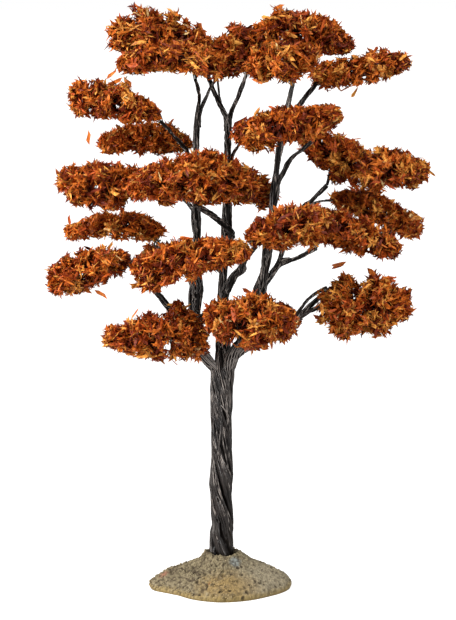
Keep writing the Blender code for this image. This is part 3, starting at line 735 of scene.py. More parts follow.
def makeLimbs(look, bundleTree, tubeTree):
    found, wholes, girths = {}, {}, {}
    for seed, (name, (through, diameters, swells)) in enumerate(leaders.items()):
        x, y, foot = through[0]
        drops = np.array([12, 8, 4])  # the leader's wires come up out of the trunk along its lay
        turns = math.atan2(y, x) + 2 * math.pi * drops / trunkSize["pitch"]
        down = around(turns, math.hypot(x, y) - 0.1 * drops) + np.outer(foot - drops, (0, 0, 1))
        whole = smoothLine([*down, *through], wire["step"])
        heights, swells = np.array(swells).T
        stations = [fork["height"] - 12, fork["height"], through[-1][2]]
        taper = np.interp(whole[:, 2], stations, [diameters[0] * 0.8, *diameters]) / 2
        girth = taper * np.interp(whole[:, 2], heights, swells)
        wholes[name], girths[name] = Limb(whole, diameters), (whole[:, 2], girth)
        found[name] = Limb(smoothLine(through, 3.0), diameters)
        found[name].radius = np.interp(found[name].line[:, 2], *girths[name])
        piece = bundle(name + "_wires", whole, girth, look, 11 + seed, bundleTree, wire["leaderPitch"])
        placed(piece, "wire", name)
    peeling, middles = forkWires(wholes, girths)
    for seed, (name, (parent, leaves, onward, diameters)) in enumerate(boughs.items()):
        onTip = isinstance(leaves, tuple)
        root = np.array(leaves, float) if onTip else found[parent].atHeight(leaves)
        found[name] = Limb(smoothLine([root, *onward], 3.0), diameters)
        aim = (np.array(onward[0], float) - root) * (1, 1, 0)
        aim /= np.linalg.norm(aim)
        if onTip:
            below = found[parent].line[-1] * 0.3 + root * 0.7 - (0, 0, 6)
            whole = smoothLine([below, root, *onward], wire["step"])
        else:
            sunk = found[parent].atHeight(root[2] - 3.5)
            face = root + aim * found[parent].radiusAt(root[2]) * 0.5
            whole = smoothLine([sunk, face, *onward], wire["step"])
            lines, centres = peelWires(found[name], found[parent], root, aim, seed)
            peeling, middles = peeling + lines, middles + centres
        girth = tapered(diameters, len(whole)) / 2
        piece = bundle(f"bough_{name}_wires", whole, girth, look, 31 + seed, bundleTree)
        placed(piece, "wire", "bough_" + name)
    widths, radius = [1.0] * len(peeling), wire["radius"] * 0.9
    piece = tubes("peeling_wires", peeling, widths, radius, wire["sides"], look, tubeTree, middles)
    nodes = [*leaders, *("bough_" + name for name in boughs)]
    placed(piece, "wire", *nodes)
    for seed, (through, reaches) in enumerate(wireEnds):
        line = smoothLine(through, 0.8)
        girth = np.linspace(*reaches, len(line))
        piece = bundle(f"wire_end_{seed + 1}", line, girth, look, 71 + seed, bundleTree)
        placed(piece, "wire", *nodes)
    return found


mound = {
    "outline": (  # reach from the trunk's axis, by direction in degrees
        (-180, 29.1), (-170, 29.4), (-162, 28.6), (-153, 25.6), (-137, 23.4), (-118, 25.2), (-92, 27),
        (-70, 26.3), (-45, 25.4), (-10, 27.8), (15, 27.2), (60, 24.5), (115, 24), (140, 25.2),
        (180, 29.1),
    ),
    # how far out from the rim to the outline, and the height on the left and on the right
    "slopes": (
        (1, 1.3, 1.7), (0.985, 1.9, 2.4), (0.96, 2.5, 3), (0.9, 3.6, 3.9), (0.81, 4.8, 5.1),
        (0.56, 7, 7.6), (0.33, 8.4, 9.8), (0.13, 10.7, 12.6), (0, 13.4, 14),
    ),
    "foot": 0.985, "rim": 7.2,
    "socket": ((6.8, 14.1), (6.3, 14), (5.8, 13.6), (5.25, 13), (5.05, 5)),  # radius and height
    "around": 520, "out": 84,
    "grain": 1.35, "relief": 0.95, "lumps": 4.0, "pit": 1.0,
    "gritSize": (0.18, 0.48), "gritDensity": 0.9,  # of the loose grains, for each square millimetre
}


def moundSkin():
    size = mound
    turns = np.linspace(-math.pi, math.pi, size["around"], endpoint=False)
    angles, reaches = np.array(size["outline"]).T
    reach = np.interp(np.degrees(turns), angles, reaches)
    for _ in range(60):
        reach = (np.roll(reach, 1) + 2 * reach + np.roll(reach, -1)) / 4
    shares, lefts, rights = np.array(size["slopes"][::-1]).T
    rightward = (1 + np.cos(turns)) / 2
    rings = [around(turns, size["foot"] * reach)]
    for share in np.linspace(1, 0, size["out"]):
        left, right = np.interp(share, shares, lefts), np.interp(share, shares, rights)
        height = left * (1 - rightward) + right * rightward
        away = size["rim"] + (reach - size["rim"]) * share
        rings.append(around(turns, away) + np.outer(height, (0, 0, 1)))
    rings += [around(turns, radius) + (0, 0, height) for radius, height in size["socket"]]
    return meshPiece("mound_cast", np.concatenate(rings), ringFaces(len(rings), size["around"]))


def outsideOnly(graph, place):  # 1 on the slopes, 0 in the socket and on the underside
    away = graph.vector("LENGTH", graph.vector("MULTIPLY", place, (1, 1, 0))).other("Value")
    return graph.stepped(away, 0.0054, 0.0064) * graph.stepped(graph.part(place, "Z"), 0.0002, 0.0014)


def castTree():
    graph = geometryGraph("castSand")
    skin, grain, relief, lumpy, pitDepth, look = graph.takes({
        "Skin": "Geometry", "Grain": 1.0 * mm, "Relief": 0.4 * mm, "Lumps": 4.0 * mm,
        "Pit depth": 0.5 * mm, "Finish": "Material",
    })
    place = graph.here()
    outside = outsideOnly(graph, place)
    bent = graph.vector("ADD", place, graph.scaled(graph.noise(place, 600.0).other("Color"), 0.0012))
    pebbles, crumbs = graph.cells(bent, 1 / grain), graph.cells(bent, 2.6 / grain)
    holes = graph.cells(place, 0.52 / grain)
    lumps = graph.noise(place, 130.0, 3.0)
    across = graph.part(place, "X") - graph.part(place, "Y") * 0.5 + (lumps - 0.5) * 0.024
    rough = (1 - graph.stepped(across, 0.0, 0.016) * 0.45) * outside
    bumps = (0.5 - pebbles) * 1.1 + (0.45 - crumbs) * 0.5
    pit = graph.stepped(holes, 0.36, 0.24) * graph.stepped(lumps, 0.38, 0.5) * outside
    offset = (bumps * relief + (lumps - 0.5) * lumpy) * rough - pit * pitDepth
    moved = graph.moved(skin, graph.scaled(graph.node("GeometryNodeInputNormal"), offset))
    # painted shade: this mask darkens the sand between the pebbles and in the pits
    hollow = graph.stepped(pebbles + crumbs * 0.5, 0.66, 0.98) * rough * 0.8 + pit
    return graph.finish(graph.stored(moved, "hollow", hollow), look)


def gritTree():
    graph = geometryGraph("looseGrit")
    skin, density, least, most, seed, look = graph.takes({
        "Skin": "Geometry", "Density": 1.0e6, "Least": 0.2 * mm, "Most": 0.4 * mm, "Seed": 0,
        "Finish": "Material",
    })
    place = graph.here()
    drifts = graph.stepped(graph.noise(place, 160.0, 3.0), 0.36, 0.66)
    sockets = {"Mesh": skin, "Density": density * outsideOnly(graph, place) * drifts, "Seed": seed}
    points = graph.node("GeometryNodeDistributePointsOnFaces", sockets, distribute_method="RANDOM")
    squash = graph.random((0.7, 0.7, 0.35), (1.3, 1.3, 0.8), seed)
    grains = graph.node("GeometryNodeInstanceOnPoints", {
        "Points": points, "Rotation": points.other("Rotation"),
        "Instance": graph.node("GeometryNodeMeshIcoSphere", {"Radius": 1.0, "Subdivisions": 1}),
        "Scale": graph.scaled(squash, graph.random(least, most, seed)),
    })
    return graph.finish(grains, look)


sand = {
    "plain": {"Specular IOR Level": 0.25},
    "mottle": (  # from hollow to crest
        (0.3, (0.105, 0.088, 0.052)), (0.46, (0.215, 0.18, 0.106)), (0.58, (0.29, 0.245, 0.15)),
        (0.74, (0.46, 0.4, 0.28)),
    ),
    # soft patches: the middle, the size, how soft the edge is, how strong it is, its colour
    "patches": (
        ((2.5, -19, 4.2), (11, 9, 5), 0.4, 0.62, (0.3, 0.2, 0.068)),
        # the second patch is paler sand on the right side: painted light
        ((18, -9, 5), (11, 15, 8), 0.5, 0.3, (0.47, 0.42, 0.31)),
    ),
    "spots": (  # and small ones that lie over the hem
        ((4.9, -7.6, 11.1), (2.5, 3, 2.2), 0.3, 0.7, (0.2, 0.235, 0.235)),
        ((-24, -3, 5.5), (2.6, 3, 1.4), 0.4, 0.6, (0.31, 0.12, 0.075)),
        ((-4.6, -19.6, 5.4), (0.6, 0.9, 0.6), 0.3, 1.0, (0.6, 0.14, 0.03)),
    ),
    # the hem's ochre, and the dark colour of the painted shade in the hollows
    "hem": (0.36, 0.26, 0.09), "hollow": (0.05, 0.036, 0.022),
}


def sandLook(name, paintsHollowShade, pale):
    look = Look(name, sand["plain"])
    place = look.place()
    mottle = look.noise(place, 420.0, 6.0, 0.75)

    def patched(colour, patches):
        for centre, size, edge, share, tint in patches:
            centre, size = (tuple(v * mm for v in values) for values in (centre, size))
            away = look.vector("DIVIDE", look.vector("SUBTRACT", place, centre), size)
            away = look.vector("LENGTH", away).other("Value")
            uneven = away + (look.noise(place, 420.0, 3.0) - 0.5) * 0.9
            colour = look.mixed(look.stepped(uneven, 1 + edge, 1 - edge) * share, colour, tint)
        return colour

    stops = [(at, tuple(pale * part for part in tint)) for at, tint in sand["mottle"]]
    colour = patched(look.ramped(mottle, stops), sand["patches"])
    hem = look.stepped(look.part(place, "Z") + (mottle - 0.5) * 0.004, 0.003, 0.0004)
    colour = patched(look.mixed(hem * 0.75, colour, sand["hem"]), sand["spots"])
    # painted shade in the hollows between the pebbles and in the pits
    if paintsHollowShade:
        colour = look.mixed(look.stepped(look.mark("hollow"), 0.05, 0.8) * 0.9, colour, sand["hollow"])
    return look.varied({
        "Base Color": colour,
        "Roughness": look.stepped(mottle, 0.3, 0.7, 0.72, 0.95),
        "Normal": look.bump(look.noise(place, 2400.0, 3.0, 0.7), 0.6, 0.2),
    })


def makeMound():
    size = mound
    cast = moundSkin()
    grown(cast, castTree(), {
        "Grain": size["grain"] * mm, "Relief": size["relief"] * mm, "Lumps": size["lumps"] * mm,
        "Pit depth": size["pit"] * mm, "Finish": sandLook("castSand", True, 0.76),
    })
    grit = added("mound_grit", cast.data.copy())
    least, most = size["gritSize"]
    grown(grit, gritTree(), {
        "Density": size["gritDensity"] / mm**2, "Least": least * mm, "Most": most * mm, "Seed": 4,
        "Finish": sandLook("looseSand", False, 0.98),
    })
    for piece in (cast, grit):
        placed(piece, "mound", "mound_base")


# A mass of foliage: the two ends of its spine, how far the spine's middle rises and is pushed back,
# its half height at each end and between, and its half depth. Its bough has the same name, apart
# from three masses that sit on a leader.
masses = {
    "top_left": ((-36, 8, 219.4), (-6.5, 8, 209.8), 3, 0, (7.8, 9.4, 5), 11),
    "top_left_lower": ((-36.5, -9, 208), (-4, -8, 208.2), 2.6, 0, (3.6, 5, 5.6), 11),
    "top_middle": ((3.5, 10, 211), (10, 11, 213.8), 0.5, 0, (8.5, 9.6, 8.8), 10),
    "top_right": ((19, 6, 219.7), (47.5, 4, 214.6), 3.2, 1, (6.5, 7.6, 3.6), 11),
    "top_front": ((14, -16, 207.3), (33.5, -14, 212), -0.8, -2, (4.4, 7, 3.2), 11),
    "high_right": ((39.5, 3, 203), (70.5, 3, 208.3), 0.4, 0, (4, 5.8, 3), 10),
    "high_left": ((-53, -6, 195.6), (-27, -6, 188.7), 0.6, 0, (6, 6.5, 2.8), 10),
    "rear_left": ((-45, 14, 175.8), (-16, 11, 176.3), 2.8, 1, (3.4, 5.8, 3.6), 9),
    "high_front": ((8, -25, 181.6), (42.3, -21, 188.8), 0, -3.7, (3.4, 6.7, 3), 11),
    "big_left": ((-58.5, -4, 162.3), (-35.5, -4, 162), -1, 0, (5.8, 8.6, 5.6), 12),
    "centre": ((-31, -15, 161.4), (16.5, 2, 157.4), 5.2, -11, (4.8, 8.8, 4.3), 13),
    "big_right": ((36.5, 8, 176.8), (75.4, -6, 167.2), -4, -1, (5, 7.8, 4.8), 13),
    "mid_left": ((-59.2, 16, 140.3), (-28, 14, 141.6), 2.8, 0, (3, 4.7, 4.4), 9),
    "low_left": ((-62.5, -2, 124.6), (-38.5, -2, 131.6), 0.8, -2, (5.8, 6.8, 2.6), 12),
    "front_left": ((-27.3, -17, 128.6), (5.8, -28, 137.5), 2.2, -5, (7.4, 6.2, 4), 13),
    "front_right": ((13, -21, 142.6), (36, -23, 147.5), 1.3, -4, (3.4, 7.6, 6.5), 12),
    "mid_right": ((41, -1, 145), (65.5, -4, 136.6), 1, -1, (6.5, 6.3, 4), 12),
    "rear_right": ((46.5, 11, 154.4), (74.7, 12, 142.6), 2, 1, (3, 5.4, 4.4), 10),
    "bottom_right": ((47, -8, 113.4), (67, -8, 114.2), 0.6, -1, (9.2, 11.4, 6.6), 14),
    "bottom_left": ((-41.7, -10, 101.6), (-14.5, -12, 103), 0.9, -3, (4, 8.6, 9.4), 11),
    "bottom_front": ((-0.4, -25, 112), (22.4, -27, 109.4), 0, -4, (6, 9.4, 5.2), 14),
    "back_top": ((-23, 32, 212), (17, 32, 213), -1.5, 3, (5.5, 5.3, 6.2), 12),
    "back_high": ((13, 26, 181), (42.5, 28, 186.5), 0, 3, (4.5, 5.3, 3.8), 11),
    "back_centre": ((-29, 31, 159.5), (9.5, 34, 158), 1.2, 6, (5.7, 8.2, 5.7), 14),
    "back_low": ((-29.5, 30, 126), (4, 34, 130.5), 0.9, 4, (6.1, 5.8, 4.4), 13),
    "back_right": ((17, 27, 140), (56, 30, 139.5), 2, 5, (4.3, 6.5, 4.6), 13),
    "back_bottom": ((1, 27, 104.5), (26, 26, 104), -0.9, 3, (5.7, 8.1, 5.7), 12),
}

onLeaders = {"top_front": "right_leader", "rear_left": "left_leader", "bottom_left": "left_leader"}

growth = {
    "evenShare": 0.75487767,  # two steps that between them spread twigs evenly along and round a mass
    "evenTurn": 0.56984029 * 2 * math.pi,
    "fringe": 1.15,
    "twigArea": 26.0,  # of the mass's skin to each twig
    "twigReach": (0.78, 1.0),
    "tufts": 0.16, "tuftReach": (0.8, 2.2),  # some twigs stand out
    "lump": 6.0,  # across one of the lumps of a mass
    "lumpReach": (0.7, 1.12),  # how far out it reaches between two lumps and on one
    "twigRadius": 0.2,
    "chipsPerTwig": 46,
    "spray": 2.5,  # how far from its twig a chip may be rooted
    "length": 4.3, "lengths": (2.2, 7.8),
    "width": (0.12, 0.3),
    "fibres": 0.12, "fibreWidth": 0.28,  # some chips are long and thin
    "clear": 0.3,
    "proud": 2.4,  # how far past the source's own box a chip may reach
    "gapSlope": 0.11,  # how steeply the gaps run downhill from front to back
}

tints = {  # plain colours dealt out by spray, and how often each is dealt
    "gold": ((0.7, 0.275, 0.046), 0.2),
    "orange": ((0.58, 0.135, 0.014), 0.36),
    "rust": ((0.39, 0.062, 0.0075), 0.28),
    "brown": ((0.17, 0.02, 0.0034), 0.18),
    "straw": ((0.82, 0.5, 0.2), 0.015),
}

paintedLightMasses = ("rear_left", "rear_right", "mid_left")  # masses that lie in the shade of others: their chips are often one tint paler, painted light

# Lobes that swell a mass here and there: the middle of each, and its radius.
lobes = {
    "top_left": ((-39.8, 4, 214.3, 2.4),),
    "high_left": ((-54.6, -6, 189.5, 2.8),),
    "rear_left": ((-25.8, 11, 173.7, 2.4), (-17.4, 10, 176.9, 2.8)),
    "high_front": ((12.2, -24, 176.7, 2.8),),
    "big_left": ((-56.2, -4, 155.6, 3.5), (-42.9, -5, 152.9, 2.8)),
    "centre": (
        (-4.7, -8, 171.8, 4.3), (-21.6, -16, 156.6, 3.1), (15.6, -4, 154, 3.5), (-6.6, -14, 156.8, 2.8),
    ),
    "big_right": ((45.4, 2, 163.7, 3.9), (74.6, -5, 160.8, 2)),
    "rear_right": ((72.1, 10, 142.9, 3.5),),
    "mid_left": ((-27.6, 14, 140.9, 2.8),),
    "low_left": ((-65, -2, 120.2, 3.3), (-56.6, -2, 120, 3.1)),
    "front_left": ((-29, -17, 123.8, 3.1),),
    "front_right": ((23, -22, 138.7, 2.4),),
    "mid_right": ((63.8, -3, 135.5, 3.1),),
    "bottom_right": ((47.5, -8, 124.3, 2.8), (72, -8, 119.4, 2.6), (46.1, -9, 103.5, 2.8)),
    "bottom_left": ((-16.8, -12, 115.3, 2.4), (-13.6, -12, 97, 2.8), (-30.2, -12, 96.4, 2.6)),
    "bottom_front": ((24.5, -27, 105, 2.8), (13, -26, 101.7, 3.1), (-0.4, -25, 104.7, 2.8)),
    "top_right": ((47.1, 4, 217, 2.4),),
    "top_front": ((26, -15, 202.9, 2.8), (13.8, -16, 204.5, 2.4)),
}

# Gaps that run right through a mass from front to back: the middle of each, and its radius.
gaps = {
    "centre": ((-16.3, -9, 160.3, 1), (-3.5, -9, 158, 1.3)),
    "big_left": ((-48.5, -4, 159.9, 0.9),),
    "front_right": ((28.2, -22, 141.8, 1.1),),
    "bottom_left": ((-21.1, -12, 98.8, 1.3),),
    "bottom_front": ((6.1, -26, 108.3, 1.1), (5.9, -26, 103.8, 1.9)),
}

# Loose chips that hang off the masses: the middle, the way each lies, and its length.
strays = (
    ((-42.4, -9, 204.3), (0.5, 0.1, 0.9), 6), ((-38, -9, 207), (-0.8, 0, 0.3), 5),
    ((51.8, 3, 197), (0.45, 0, 1), 5.4), ((-51.6, -6, 179.6), (-0.1, 0, 1), 6),
    ((-59.5, -6, 147.6), (0.1, 0, 1), 4.5), ((-44.6, 14, 135.2), (0.4, 0, 0.8), 5),
    ((-47.4, -4, 118.2), (0.7, 0, -0.6), 6.5), ((10.6, -24, 121.6), (0.9, 0, -0.4), 6.5),
    ((76.6, 8, 147), (1, 0, 0), 7), ((46, 2, 129.4), (1, 0, 0.4), 6.5),
    ((45.4, 2, 128.4), (1, 0, 0.1), 5.5), ((81, -4, 166), (0.6, 0, -0.7), 6),
)


def unit(vectors):
    return vectors / np.linalg.norm(vectors, axis=-1)[..., None]


def scattered(chance, count):  # even directions
    return unit(chance.normal(size=(count, 3)))


class Mass:  # the space a mass of foliage keeps to: an ellipsoid at each station of its curved spine
    def __init__(self, swellings, start, end, rise, push, halfHeights, halfDepth):
        start, end = np.array(start, float), np.array(end, float)
        self.knots = np.array([start, (start + end) / 2 + (0, push, rise), end])
        self.halfHeights, self.halfDepth = halfHeights, halfDepth
        self.ahead = unit((end - start) * (1, 1, 0))
        self.aside = np.cross((0, 0, 1), self.ahead)
        shares = np.linspace(0, 1, 13)
        self.swellings = np.array(swellings, float).reshape(-1, 4)
        self.centres = np.concatenate([self.spine(shares), self.swellings[:, :3]])
        self.reaches = np.concatenate([self.reach(shares), self.swellings[:, 3:] * (1, 1.3, 1)])

    def bent(self, values, share):  # a parabola through three values
        first, middle, last = (np.asarray(v, float) for v in values)
        if first.ndim:
            share = share[:, None]
        ends = first * (1 - share) * (1 - 2 * share) + last * share * (2 * share - 1)
        return ends + middle * 4 * share * (1 - share)

    def spine(self, share):
        return self.bent(self.knots, share)

    def reach(self, share):
        half = self.bent(self.halfHeights, share)
        depth = self.halfDepth * (0.45 + 0.55 * np.sin(math.pi * (0.15 + 0.7 * share)))
        return np.stack([half + 0.8, depth, half * growth["fringe"]], axis=-1)

    def fill(self, points):  # 0 on the spine, 1 at the edge of the space
        away = np.atleast_2d(points)[:, None, :] - self.centres
        local = np.stack([away @ self.ahead, away @ self.aside, away[:, :, 2]], axis=2)
        return np.linalg.norm(local / self.reaches, axis=2).min(axis=1)

    def outward(self, turn, lean):
        flat = self.aside * np.cos(turn)[:, None] + np.array((0, 0, 1)) * np.sin(turn)[:, None]
        return unit(flat * np.cos(lean)[:, None] + self.ahead * np.sin(lean)[:, None])

    def edge(self, root, away):  # how far it is from the root to the edge of the space
        steps = np.linspace(0.5, 26, 60)
        points = root[:, None, :] + steps[None, :, None] * away[:, None, :]
        inside = self.fill(points.reshape(-1, 3)).reshape(len(root), -1) <= 1
        return steps[np.maximum(inside.shape[1] - 1 - inside[:, ::-1].argmax(axis=1), 0)]


def growTwigs(mass, chance):  # their roots on the spine, their tips, and which of them stand out
    size = growth
    halves = mass.reaches[:13].mean(axis=0)
    length = np.linalg.norm(np.diff(mass.knots, axis=0), axis=1).sum() + 2 * halves[2]
    girth = 2 * math.pi * math.sqrt((halves[1] ** 2 + halves[2] ** 2) / 2)
    index = np.arange(round(length * girth / size["twigArea"]))
    share = index * size["evenShare"] % 1
    lean = chance.uniform(-0.5, 0.5, len(index)) + (share - 0.5) * 2
    away = mass.outward(index * size["evenTurn"], lean)
    root = mass.spine(share)
    reach = mass.edge(root, away) * chance.uniform(*size["twigReach"], len(index))
    tuft = chance.uniform(size=len(index)) < size["tufts"]
    reach += chance.uniform(*size["tuftReach"], len(index)) * tuft
    tip = root + away * reach[:, None]
    for *middle, radius in mass.swellings:  # and a few twigs to each of its lobes
        few = scattered(chance, round(1 + radius**2 * 0.8)) * radius * 0.8 + middle
        nearest = mass.spine(np.linspace(0, 1, 9))
        nearest = nearest[np.linalg.norm(nearest - middle, axis=1).argmin()]
        root = np.concatenate([root, np.broadcast_to(nearest, few.shape)])
        tip = np.concatenate([tip, few])
    return root, tip, np.concatenate([tuft, np.zeros(len(tip) - len(tuft), bool)])


def growMass(mass, holes, others, limbs, chance):
    size = growth
    root, tip, tuft = growTwigs(mass, chance)
    owner = np.repeat(np.arange(len(tip)), size["chipsPerTwig"])
    count = len(owner)
    out = chance.uniform(0.25, 1.0, count) ** 0.65
    spread = size["spray"] * (1.25 - 0.65 * out) * chance.uniform(0, 1, count) ** 0.5
    middle = root[owner] + (tip - root)[owner] * out[:, None] + scattered(chance, count) * spread[:, None]
    pull = chance.uniform(-0.2, 1.5, count) * out
    along = unit(unit(tip - root)[owner] * pull[:, None] + scattered(chance, count))
    facing = unit(np.cross(along, scattered(chance, count)))
    long = np.exp(chance.normal(math.log(size["length"]), 0.32, count)).clip(*size["lengths"])
    wide = long * chance.uniform(*size["width"], count)
    fibre = chance.uniform(size=count) < size["fibres"]
    long, wide = np.where(fibre, long * 1.3, long), np.where(fibre, size["fibreWidth"], wide)
    ends = middle + along * long[:, None] * 0.5, middle - along * long[:, None] * 0.5

    depth, standsOut, lump = mass.fill(middle), tuft[owner], size["lump"]
    lumps = softNoise(middle / lump + 50, 3) * 0.7 + softNoise(middle * 2.3 / lump + 90, 4) * 0.3
    least, most = size["lumpReach"]
    limit = least + (most - least) * eased(lumps * 2 - 0.5)
    limit = limit * (0.82 + 0.4 * softNoise(middle / (1.7 * lump) + 20, 5)) + 0.28 * standsOut
    own = np.maximum(mass.fill(ends[0]), mass.fill(ends[1]))
    keep = (depth < limit) & (own < 1.04 + 0.2 * standsOut + 0.36 * chance.uniform(size=count) ** 3)
    for *hole, radius in holes:
        for place in np.linspace(0, 1, 7):
            across = ends[0] * place + ends[1] * (1 - place) - hole
            keep &= np.hypot(across[:, 0], across[:, 2] + size["gapSlope"] * across[:, 1]) > radius
    low, high = (np.array(corner) / mm for corner in cadBox)
    for points in (ends[0], middle, ends[1]):
        keep &= ((points > low - size["proud"]) & (points < high + size["proud"])).all(axis=1)
        for limb in limbs:
            keep &= limb.clearance(points) > size["clear"]
        for other in others:
            keep &= other.fill(points) > mass.fill(points) - 0.05
    rows = [values[keep] for values in (middle, along, facing, long, wide)]
    return root, tip, owner[keep], rows, depth[keep]


def chipShapes(chance):  # splinters of a few faces, one unit long and wide: folded, curled and crooked
    group = bpy.data.collections.new("chipShapes")
    for k in range(10):
        curl = chance.uniform(-0.5, 0.5) * (1.6 if k > 6 else 0.7)
        fold, skew = chance.uniform(0.03, 0.09), chance.uniform(-0.5, 0.5, 4)
        places = np.array([-0.5, chance.uniform(-0.3, -0.12), chance.uniform(0.1, 0.3), 0.5])
        widths = (0, chance.uniform(0.8, 1.1), chance.uniform(0.5, 1.0), 0)
        points = []
        for place, width, shift in zip(places, widths, skew):
            for side in (0,) if width == 0 else (-0.5, 0, 0.5):
                height = curl * (place * place - 0.1) + (fold if side == 0 and width else 0)
                points.append((place, side * width + shift * 0.6, height))
        faces = [(0, 1, 2), (0, 2, 3), (1, 4, 5, 2), (2, 5, 6, 3), (4, 7, 5), (5, 7, 6)]
        piece = meshPiece(f"chipShape{k}", np.array(points) / mm, faces)
        bpy.context.scene.collection.objects.unlink(piece)
        group.objects.link(piece)
    return group


def chipTree(shapes):
    graph = geometryGraph("chipSprays")
    roots, loose, seed, look = graph.takes({
        "Roots": "Geometry", "Loose turn": 0.3, "Seed": 0, "Finish": "Material",
    })
    sockets = {"Collection": shapes, "Separate Children": True, "Reset Children": True}
    pool = graph.node("GeometryNodeCollectionInfo", sockets)
    lie = graph.node("FunctionNodeAlignRotationToVector", {"Vector": graph.named("along")}, axis="X")
    sockets = {"Rotation": lie, "Vector": graph.named("facing")}
    turn = graph.node("FunctionNodeAlignRotationToVector", sockets, axis="Z", pivot_axis="X")
    tilt = graph.random((-1.0,) * 3, (1.0,) * 3, seed)
    swing = graph.node("FunctionNodeEulerToRotation", {0: graph.scaled(tilt, loose)})
    sockets = {"Rotation": turn, "Rotate By": swing}
    final = graph.node("FunctionNodeRotateRotation", sockets, rotation_space="LOCAL")
    chips = graph.node("GeometryNodeInstanceOnPoints", {
        "Points": roots, "Instance": pool, "Pick Instance": True,
        "Instance Index": graph.named("shape", "INT"), "Rotation": final, "Scale": graph.named("size"),
    })
    return graph.finish(chips, look)


def makeChips(dealt, chance):
    shapes = chipShapes(chance)
    tree = chipTree(shapes)
    for key, rows in dealt.items():
        middle, along, facing, long, wide = (np.concatenate(values) for values in zip(*rows))
        parts = math.ceil(len(middle) * 8 / 190000)
        order = np.argsort(middle[:, 2], kind="stable")
        for part, rows in enumerate(np.array_split(order, parts)):
            piece = meshPiece(f"chips_{key}_{part + 1}", middle[rows])
            sizes = np.stack([long[rows], wide[rows], long[rows]], axis=1) * mm
            kinds = chance.integers(0, 10, len(rows)).astype(np.int32)
            store(piece, along=along[rows], facing=facing[rows], size=sizes, shape=kinds)
            look = chipLook(f"{key}Chip{part + 1}", tints[key][0])
            grown(piece, tree, {"Loose turn": 0.2, "Seed": 5, "Finish": look}, smooth=False)
            placed(piece, "chips", *("foliage_" + name for name in masses))
    for piece in list(shapes.objects):
        bpy.data.objects.remove(piece)
    bpy.data.collections.remove(shapes)
    print("chips laid:", sum(len(row[0]) for rows in dealt.values() for row in rows))


def makeFoliage(look, limbs, tubeTree):
    chance = np.random.default_rng(20)
    spaces = {name: Mass(lobes.get(name, ()), *sizes) for name, sizes in masses.items()}
    names = list(tints)
    odds = np.array([tints[name][1] for name in names])
    odds /= odds.sum()
    dealt = {name: [] for name in names}
    twigs, thick = [], []
    for name, mass in spaces.items():
        others = [
            other for key, other in spaces.items()
            if key != name and np.linalg.norm(other.centres[:, None] - mass.centres, axis=2).min() < 30
        ]
        near = [limb for limb in limbs.values() if limb.clearance(mass.centres).min() < 24]
        root, tip, owner, rows, depth = growMass(mass, gaps.get(name, ()), others, near, chance)
        count = len(owner)
        tint = chance.choice(4, size=len(root), p=odds[:4] / odds[:4].sum())[owner]
        mixed = chance.uniform(size=count) < 0.45
        tint = np.where(mixed, chance.choice(len(names), size=count, p=odds), tint)
        # chips deep inside a mass all get the brown tint: painted shade
        tint = np.where(depth < 0.5, names.index("brown"), tint)
        # painted light: the chips of the masses in shade often take a paler tint
        if name in paintedLightMasses:
            tint = np.where((tint > 1) & (tint < 4) & (chance.uniform(size=count) < 0.75), tint - 1, tint)
        for k, key in enumerate(names):
            dealt[key].append([values[tint == k] for values in rows])
        for start, end in zip(root, tip):
            bend = (start + end) / 2 + chance.normal(size=3) * 0.6
            twigs.append(smoothLine([start, bend, start + (end - start) * 0.93], 2.2))
            thick.append(np.linspace(1.3, 0.6, len(twigs[-1])))
        seat = limbs[onLeaders.get(name, name)].line[-1]
        for _ in range(4):  # the bough's last wires go on through the mass
            stem = mass.spine(np.linspace(0, 1, 6)) + np.cumsum(chance.normal(size=(6, 3)) * 0.7, axis=0)
            nearest = np.linalg.norm(stem - seat, axis=1).argmin()
            for way in (stem[nearest:], stem[nearest::-1]):
                if len(way) > 1 and name not in onLeaders:
                    twigs.append(smoothLine([seat + chance.normal(size=3) * 0.3, *way[:4]], 1.5))
                    thick.append(np.linspace(1.5, 1.1, len(twigs[-1])))
    for k, (middle, along, long) in enumerate(strays):
        row = [np.array([value], float) for value in (middle, along, (0.2, 1, 0.1), long, 0.25 * long)]
        dealt[("orange", "rust", "gold")[k % 3]].append(row)
    makeChips(dealt, chance)
    piece = tubes("twigs", twigs, thick, growth["twigRadius"], 3, look, tubeTree)
    placed(piece, "wire", *("foliage_" + name for name in masses))
    print("twigs laid:", len(twigs))


studio = {
    "camera": (2.3, -900, 232), "tilt": 7.633, "focal": 133.76, "farthest": 200000,
    "floor": 60000,
    "floorPlain": {
        "Base Color": (0.5, 0.5, 0.5, 1), "Roughness": 0.9, "Specular IOR Level": 0.1,
        "Emission Color": (1, 1, 1, 1),
    },
    "floorGlow": 0.85,  # how much paler it looks to the camera
    "walls": 0.1, "ceiling": 0.45,  # how bright they are
    "suns": {  # soft suns: which way each is turned, its power and its spread
        "keySun": ((47, 0, -34), 2.3, 16),
        "fillSun": ((80, 0, 36), 0.8, 14),
    },
    "boxes": {  # tall soft boxes: where each stands, its width and height, its brightness
        "leftBox": ((-300, -110, 240), (150, 520), 9.0),
        "rightBox": ((300, -190, 230), (70, 480), 5.5),
    },
    "boxColour": (1, 0.92, 0.87),
}


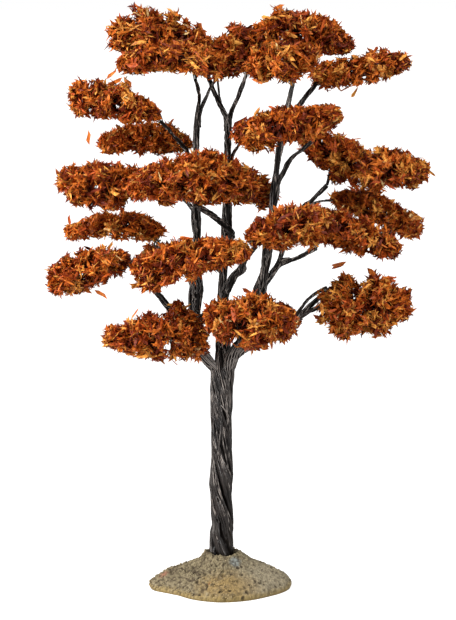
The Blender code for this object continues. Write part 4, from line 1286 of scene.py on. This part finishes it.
def makeStudio():
    size, scene = studio, bpy.context.scene
    camera = added("camera", bpy.data.cameras.new("camera"))
    camera.data.lens, camera.data.clip_end = size["focal"], size["farthest"] * mm
    camera.location = tuple(v * mm for v in size["camera"])
    camera.rotation_euler = (math.radians(90 - size["tilt"]), 0, 0)
    scene.camera = camera
    look = Look("paleFloor", size["floorPlain"])
    seen = look.node("ShaderNodeLightPath").other("Is Camera Ray")
    half = size["floor"]
    corners = [(-half, -half, 0), (half, -half, 0), (half, half, 0), (-half, half, 0)]
    pale = look.varied({"Emission Strength": seen * size["floorGlow"]})
    meshPiece("floor", corners, [(0, 1, 2, 3)], look=pale)
    for name, (turn, power, spread) in size["suns"].items():
        light = added(name, bpy.data.lights.new(name, "SUN"))
        light.data.energy, light.data.angle = power, math.radians(spread)
        light.rotation_euler = tuple(math.radians(v) for v in turn)
    for name, (place, (wide, high), bright) in size["boxes"].items():
        light = added(name, bpy.data.lights.new(name, "AREA"))
        box = light.data
        box.shape = "RECTANGLE"
        box.size, box.size_y = wide * mm, high * mm
        box.energy = bright * math.pi * box.size * box.size_y
        box.color = size["boxColour"]
        light.location = Vector(place) * mm
        light.rotation_euler = Vector((-place[0], -place[1], 0)).to_track_quat("-Z", "Y").to_euler()
        light.visible_camera = False
    world = bpy.data.worlds.new("studio")
    world.use_nodes = True
    graph = Graph(world.node_tree)
    way = graph.node("ShaderNodeTexCoord").other("Generated")
    glow = graph.stepped(graph.part(way, "Z"), 0, 1, size["walls"], size["ceiling"])
    seen = graph.node("ShaderNodeLightPath").other("Is Camera Ray")
    backdrop = world.node_tree.nodes["Background"]
    backdrop.inputs["Color"].default_value = (1, 1, 1, 1)
    graph.tree.links.new((glow + seen * (1 - glow)).socket, backdrop.inputs["Strength"])
    scene.world = world
    scene.view_settings.view_transform = "Standard"


makeStudio()
print("studio set")
makeMound()
print("mound cast")
coated, bundleTree, tubeTree = wireLook(), wireBundleTree(), tubesTree()
for piece in (trunkRelief(coated), trunkWires(coated, tubeTree)):
    placed(piece, "wire", "trunk")
print("trunk laid up")
limbs = makeLimbs(coated, bundleTree, tubeTree)
print("limbs made:", len(limbs))
makeFoliage(coated, limbs, tubeTree)
print("foliage grown")
